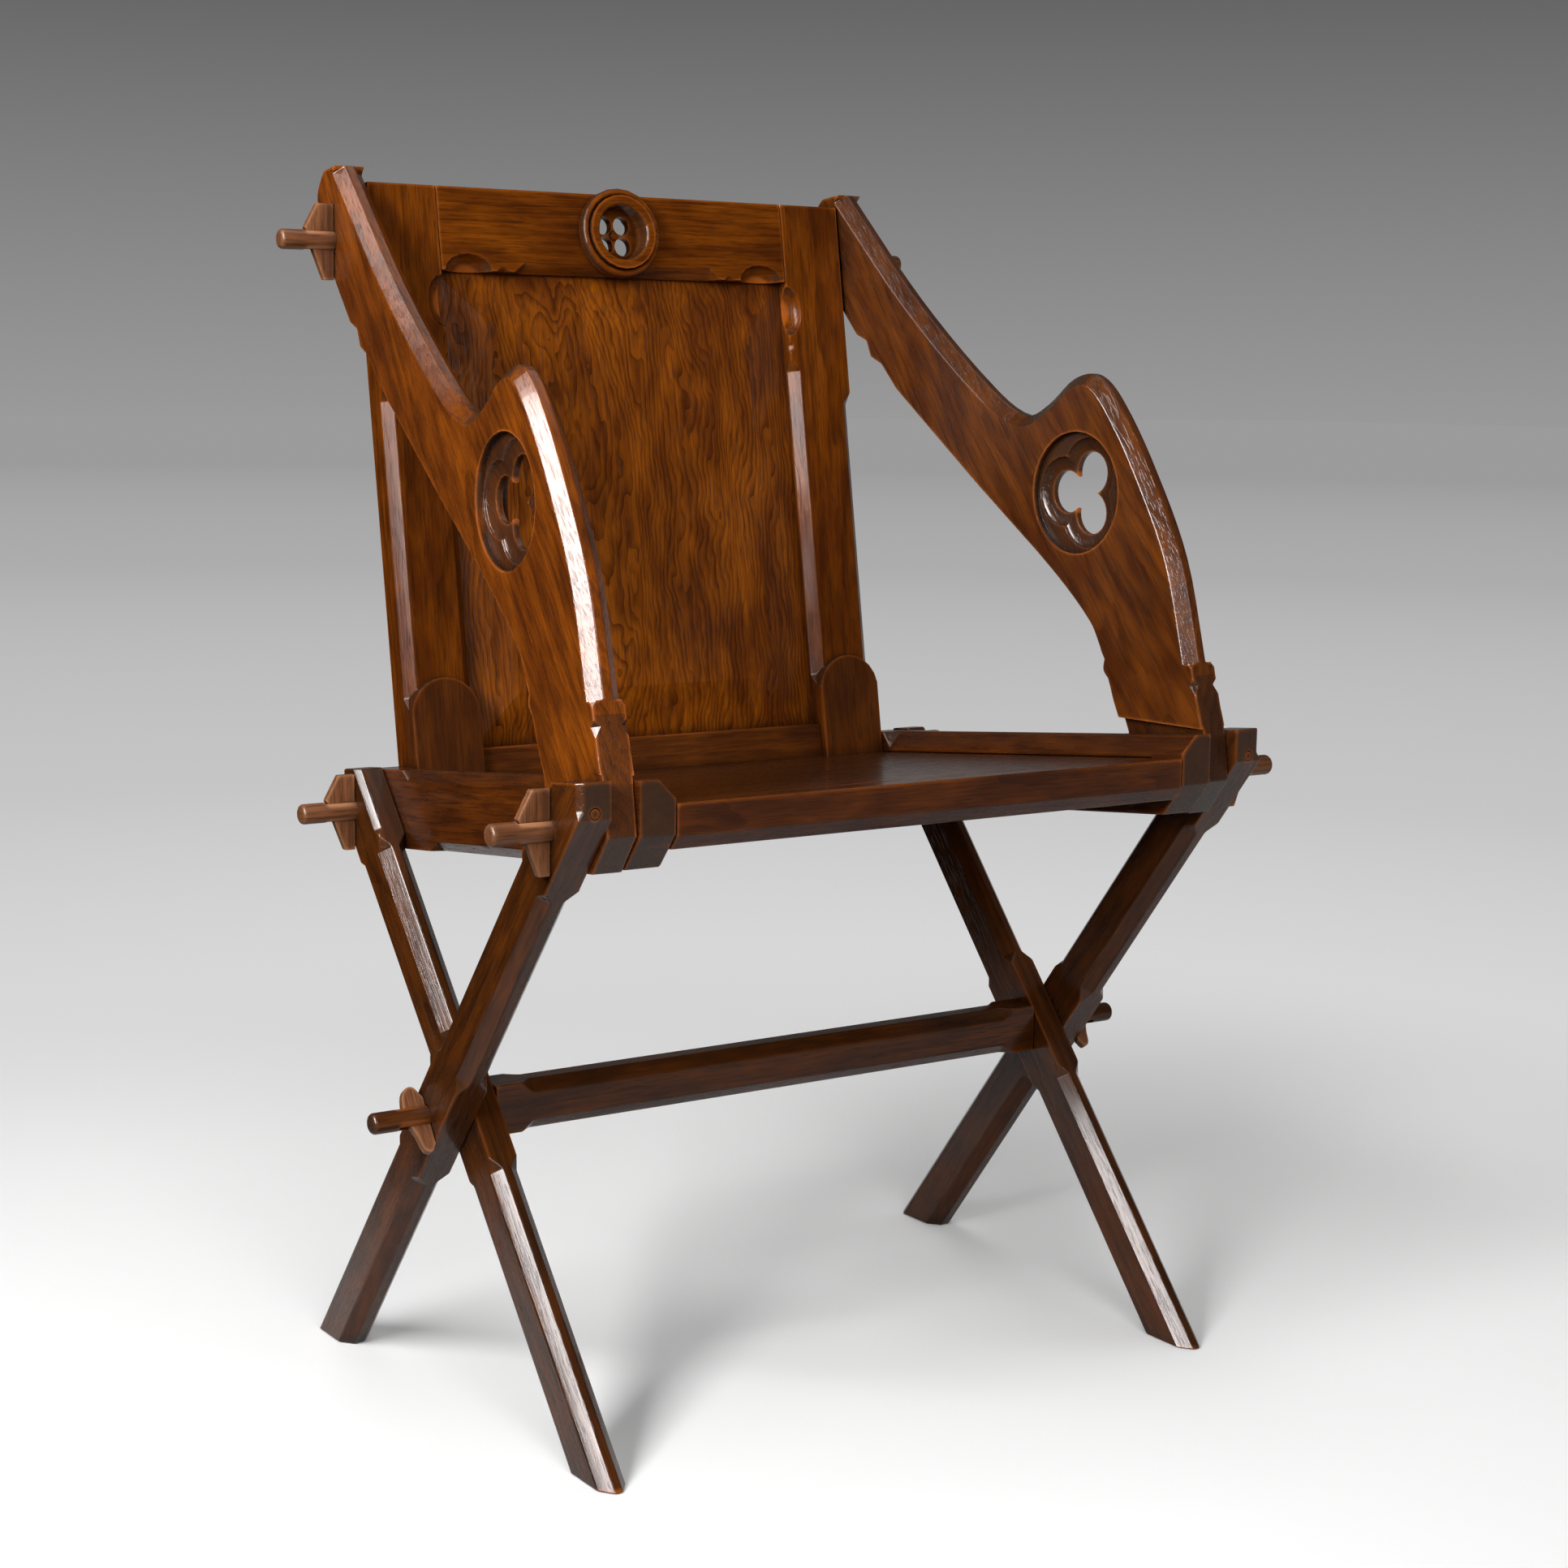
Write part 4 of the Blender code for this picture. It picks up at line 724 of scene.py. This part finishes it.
@dataclass
class Arms(Joinery):
    """The shaped arms with their sunk and pierced trefoils."""

    trefoil: tuple[float, float] = (-0.0897, 0.636)     # middle, towards the back and up
    trefoil_radius: float = 0.047
    trefoil_face: float = 0.004     # the carving's faces are smaller than this, in square metres
    trefoil_dark: float = 0.72      # share of painted shade in the carving
    foot_top: float = 0.505         # height of the arm's foot, in metres
    foot_front: float = -0.3        # the foot's front looks forward by at least this
    foot_dark: float = 0.50         # share of painted shade on it
    crisp: float = 0.4              # share of the arris that the trefoil's edges take
    arris: float = 0.0010
    finish: OakFinish = ARM_OAK
    timbers: dict[str, GrainRun] = field(default_factory=lambda: {
        "arm_left": GrainRun.UP_ARM, "arm_right": GrainRun.UP_ARM})
    seed: int = 41

    def softness(self, node: str, point: Vector) -> float:
        """Keep the sunk and pierced trefoil crisp."""
        inside = (point.yz - Vector(self.trefoil)).length < self.trefoil_radius
        return self.crisp if inside else 1.0

    def painted_shade(self, face: bpy.types.MeshPolygon) -> float:
        """Paint shade into the sunk and pierced trefoil, and onto the front of the arm's foot."""
        if face.center.z < self.foot_top and face.normal.y < self.foot_front:
            return self.foot_dark
        inside = (face.center.yz - Vector(self.trefoil)).length < self.trefoil_radius
        return self.trefoil_dark if inside and face.area < self.trefoil_face else 0.0

    def finish_of(self, node: str) -> OakFinish:
        """Give the right arm the darker copy of its oak, as painted shade."""
        return SHADED_ARM_OAK if node == "arm_right" else self.finish


@dataclass
class PinsAndKeys(Joinery):
    """The loose pins and the keys through their ends."""

    arris: float = 0.0007
    finish: OakFinish = PIN_OAK
    timbers: dict[str, GrainRun] = field(default_factory=dict)
    seed: int = 51

    def __post_init__(self) -> None:
        """List the timbers, alike on both sides."""
        for side in ("left", "right"):
            for corner in ("front", "rear", "top"):
                self.timbers[f"pin_{corner}_{side}"] = GrainRun.ACROSS
                self.timbers[f"key_{corner}_{side}"] = GrainRun.UPRIGHT
            self.timbers[f"key_stretcher_{side}"] = GrainRun.LEAF_KEY


@dataclass
class LegPegs(Joinery):
    """The pegs in the leg heads, cut flush."""

    arris: float = 0.0004
    finish: OakFinish = PEG_OAK
    timbers: dict[str, GrainRun] = field(default_factory=lambda: {
        "leg_peg_left": GrainRun.ALONG_SEAT, "leg_peg_right": GrainRun.ALONG_SEAT})
    seed: int = 71


class LampRays(Enum):
    """What a lamp is seen by."""

    BOTH = "both"
    SHINE = "only the polish"
    COLOUR = "only the wood's colour"


@dataclass
class Softbox:
    """A lamp with a wide, even face."""

    name: str
    place: tuple[float, float, float]
    long: float
    wide: float
    watts: float
    along: tuple[float, float, float] = (1.0, 0.0, 0.0)     # run of the long side
    rays: LampRays = LampRays.BOTH      # what the lamp is seen by
    aim: tuple[float, float, float] = (0.0, 0.0, 0.45)

    def build(self) -> bpy.types.Object:
        """Set the lamp up, facing what it lights.

        Returns:
            The lamp.
        """
        lamp = bpy.data.lights.new(self.name, "AREA")
        lamp.shape = "RECTANGLE"
        lamp.size = self.long
        lamp.size_y = self.wide
        lamp.energy = self.watts
        stand = bpy.data.objects.new(self.name, lamp)
        bpy.context.scene.collection.objects.link(stand)
        stand.visible_camera = False
        stand.visible_diffuse = self.rays is not LampRays.SHINE
        stand.visible_glossy = self.rays is not LampRays.COLOUR
        back = (Vector(self.place) - Vector(self.aim)).normalized()
        up = back.cross(Vector(self.along)).normalized()
        turn = Matrix((up.cross(back), up, back)).transposed().to_4x4()
        stand.matrix_world = Matrix.Translation(self.place) @ turn
        return stand


@dataclass
class Studio:
    """Pale floor that falls away to grey paper, soft lamps, and the photograph's camera."""

    floor_size: float = 80.0
    floor_drop: float = 0.0004  # keeps the paper clear of the feet
    cloth: str = "#202020"      # dark cloth at the left, seen only in the polish
    lens_mm: float = 62.43
    camera_place: tuple[float, float, float] = (-1.1106, -1.6851, 0.7185)
    yaw: float = math.radians(-34.086)
    fall: float = math.radians(8.473)
    roll: float = math.radians(0.776)

    def build(self) -> None:
        """Lay the floor, hang the lamps and set the camera."""
        self.lay_floor()
        self.light_world()
        for lamp in (Softbox("key_left", (-1.9, -0.62, 1.6), 1.7, 0.6, 66.0, (-0.1, -0.68, -0.73)),
                     Softbox("fill_front", (-0.9, -2.5, 1.4), 1.2, 1.2, 38.0),
                     Softbox("overhead", (0.4, 0.1, 3.0), 2.0, 2.0, 16.0),
                     Softbox("shine_left", (-1.9, -0.7, 1.68), 2.2, 1.1, 320.0,
                             (-0.1, -0.68, -0.73), rays=LampRays.SHINE),
                     Softbox("fill_behind", (0.7, 2.8, 1.7), 1.6, 1.6, 15.0, rays=LampRays.COLOUR),
                     Softbox("fill_right", (2.5, -0.5, 1.4), 1.6, 1.6, 12.0, rays=LampRays.COLOUR),
                     Softbox("shine_above", (-1.5, 0.4, 2.35), 0.9, 0.9, 24.0,
                             rays=LampRays.SHINE)):
            lamp.build()
        self.set_camera()

    def lay_floor(self) -> bpy.types.Object:
        """Lay a pale paper floor that darkens far from the chair.

        Returns:
            The floor.
        """
        bpy.ops.object.select_all(action="DESELECT")
        bpy.ops.mesh.primitive_plane_add(size=self.floor_size, location=(0, 0, -self.floor_drop))
        floor = bpy.context.object
        floor.name = "floor"
        paper = bpy.data.materials.new("matt_pale_paper")
        paper.use_nodes = True
        tree = paper.node_tree
        tree.nodes.clear()
        coords = add_node(tree, "ShaderNodeTexCoord", {}).outputs["Object"]
        away = add_node(tree, "ShaderNodeVectorMath", {0: coords},
                        operation="LENGTH").outputs["Value"]
        # Far from the chair the paper glows for the camera in a grey that darkens with distance,
        # a painted falloff of the lamps' light.
        distance = add_node(tree, "ShaderNodeMapRange", {0: away, 1: 0.0, 2: 20.0}).outputs[0]
        tone = add_node(tree, "ShaderNodeValToRGB", {0: distance}).outputs[0]
        ramp = tone.node.color_ramp
        ramp.elements[0].color = linear("#fafafa")
        ramp.elements[1].color = linear("#9b9b9b")
        for spot, grey in ((0.05, "#dcdcdc"), (0.14, "#c6c6c6"), (0.42, "#adadad")):
            ramp.elements.new(spot).color = linear(grey)
        beside = self.off_paper(tree, coords, 0.32, 0.35, 0.8)
        tone = add_node(tree, "ShaderNodeMix", {0: beside, 6: tone, 7: linear(self.cloth)},
                        data_type="RGBA").outputs[2]
        glow = add_node(tree, "ShaderNodeEmission", {"Color": tone, "Strength": 1.0}).outputs[0]
        watched = self.watched(tree)
        # The paper throws little light back up, so the undersides stay dark as in the photograph.
        sheet = add_node(tree, "ShaderNodeMix",
                         {0: watched, 6: linear("#5c5c5c"), 7: linear("#f0f0f0")},
                         data_type="RGBA").outputs[2]
        sheet = add_node(tree, "ShaderNodeMix", {0: beside, 6: sheet, 7: linear(self.cloth)},
                         data_type="RGBA").outputs[2]
        matt = add_node(tree, "ShaderNodeBsdfDiffuse", {"Color": sheet}).outputs[0]
        far = add_node(tree, "ShaderNodeMapRange", {0: away, 1: 0.55, 2: 1.5},
                       interpolation_type="SMOOTHSTEP").outputs[0]
        shown = add_node(tree, "ShaderNodeMath", {0: far, 1: watched},
                         operation="MULTIPLY").outputs[0]
        both = add_node(tree, "ShaderNodeMixShader", {0: shown, 1: matt, 2: glow}).outputs[0]
        add_node(tree, "ShaderNodeOutputMaterial", {"Surface": both})
        floor.data.materials.append(paper)
        return floor

    def off_paper(self, tree: bpy.types.NodeTree, coords: bpy.types.NodeSocket, spread: float,
                  start: float, stop: float) -> bpy.types.NodeSocket:
        """Find the dark cloth to the left of the paper, which only the polish sees.

        Args:
            tree: Node tree of the floor or the world.
            coords: Place on the floor, or direction in the world.
            spread: How fast the paper widens away from the camera.
            start: Where the paper ends, to the left of the chair.
            stop: Where only the cloth is left.

        Returns:
            Share of dark cloth.
        """
        ahead = Vector((-math.sin(self.yaw), math.cos(self.yaw), 0))
        aside = Vector((-ahead.y, ahead.x, 0))
        far = add_node(tree, "ShaderNodeVectorMath", {0: coords, 1: ahead},
                       operation="DOT_PRODUCT").outputs["Value"]
        wide = add_node(tree, "ShaderNodeVectorMath", {0: coords, 1: aside},
                        operation="DOT_PRODUCT").outputs["Value"]
        over = add_node(tree, "ShaderNodeMath", {0: far, 1: -spread, 2: wide},
                        operation="MULTIPLY_ADD").outputs[0]
        cloth = add_node(tree, "ShaderNodeMapRange", {0: over, 1: start, 2: stop},
                         interpolation_type="SMOOTHSTEP").outputs[0]
        polish = add_node(tree, "ShaderNodeLightPath", {}).outputs["Is Glossy Ray"]
        return add_node(tree, "ShaderNodeMath", {0: cloth, 1: polish},
                        operation="MULTIPLY").outputs[0]

    @staticmethod
    def watched(tree: bpy.types.NodeTree) -> bpy.types.NodeSocket:
        """Tell rays that show a picture of the background from rays that light the chair.

        Args:
            tree: Node tree of the floor or the world.

        Returns:
            One for camera, glossy and transmission rays.
        """
        path = add_node(tree, "ShaderNodeLightPath", {})
        seen = path.outputs["Is Camera Ray"]
        for kind in ("Is Glossy Ray", "Is Transmission Ray"):
            seen = add_node(tree, "ShaderNodeMath", {0: seen, 1: path.outputs[kind]},
                            operation="MAXIMUM").outputs[0]
        return seen

    def light_world(self) -> None:
        """Fill the room with even light, and show the camera grey paper above the floor."""
        world = bpy.data.worlds.new("grey_paper")
        bpy.context.scene.world = world
        world.use_nodes = True
        tree = world.node_tree
        tree.nodes.clear()
        coords = add_node(tree, "ShaderNodeTexCoord", {}).outputs["Generated"]
        height = add_node(tree, "ShaderNodeSeparateXYZ", {0: coords}).outputs["Z"]
        share = add_node(tree, "ShaderNodeMapRange", {0: height, 1: -0.02, 2: 0.14}).outputs[0]
        paper = add_node(tree, "ShaderNodeMix",
                         {0: share, 6: linear("#9b9b9b"), 7: linear("#626262")},
                         data_type="RGBA").outputs[2]
        beside = self.off_paper(tree, coords, 0.45, 0.05, 0.45)
        paper = add_node(tree, "ShaderNodeMix", {0: beside, 6: paper, 7: linear(self.cloth)},
                         data_type="RGBA").outputs[2]
        seen = add_node(tree, "ShaderNodeBackground", {"Color": paper, "Strength": 1.0}).outputs[0]
        room = add_node(tree, "ShaderNodeBackground", {"Color": linear("#b4b4b4"),
                                                       "Strength": 0.16}).outputs[0]
        both = add_node(tree, "ShaderNodeMixShader", {0: self.watched(tree), 1: room,
                                                      2: seen}).outputs[0]
        add_node(tree, "ShaderNodeOutputWorld", {"Surface": both})

    def set_camera(self) -> bpy.types.Object:
        """Stand the camera where the photograph was taken.

        Returns:
            The camera.
        """
        back = Vector((math.sin(self.yaw) * math.cos(self.fall),
                       -math.cos(self.yaw) * math.cos(self.fall), math.sin(self.fall)))
        right = (-back).cross(Vector((0, 0, 1))).normalized()
        up = right.cross(-back)
        across = math.cos(self.roll) * right + math.sin(self.roll) * up
        above = math.cos(self.roll) * up - math.sin(self.roll) * right
        lens = bpy.data.cameras.new("photo_camera")
        lens.lens = self.lens_mm
        lens.sensor_width = 36.0
        camera = bpy.data.objects.new("photo_camera", lens)
        bpy.context.scene.collection.objects.link(camera)
        turn = Matrix((across, above, back)).transposed().to_4x4()
        camera.matrix_world = Matrix.Translation(self.camera_place) @ turn
        bpy.context.scene.camera = camera
        return camera


def main() -> None:
    """Build and dress the chair, then the studio round it."""
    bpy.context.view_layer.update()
    bpy.context.scene.view_settings.view_transform = "Standard"
    Studio().build()
    for group in (Undercarriage(), SeatFrame(), SeatBoard(), BackFrame(), BackPanel(), Arms(),
                  PinsAndKeys(), LegPegs()):
        group.build()
        log.info("%s finished", type(group).__name__)


if __name__ == "__main__":
    main()
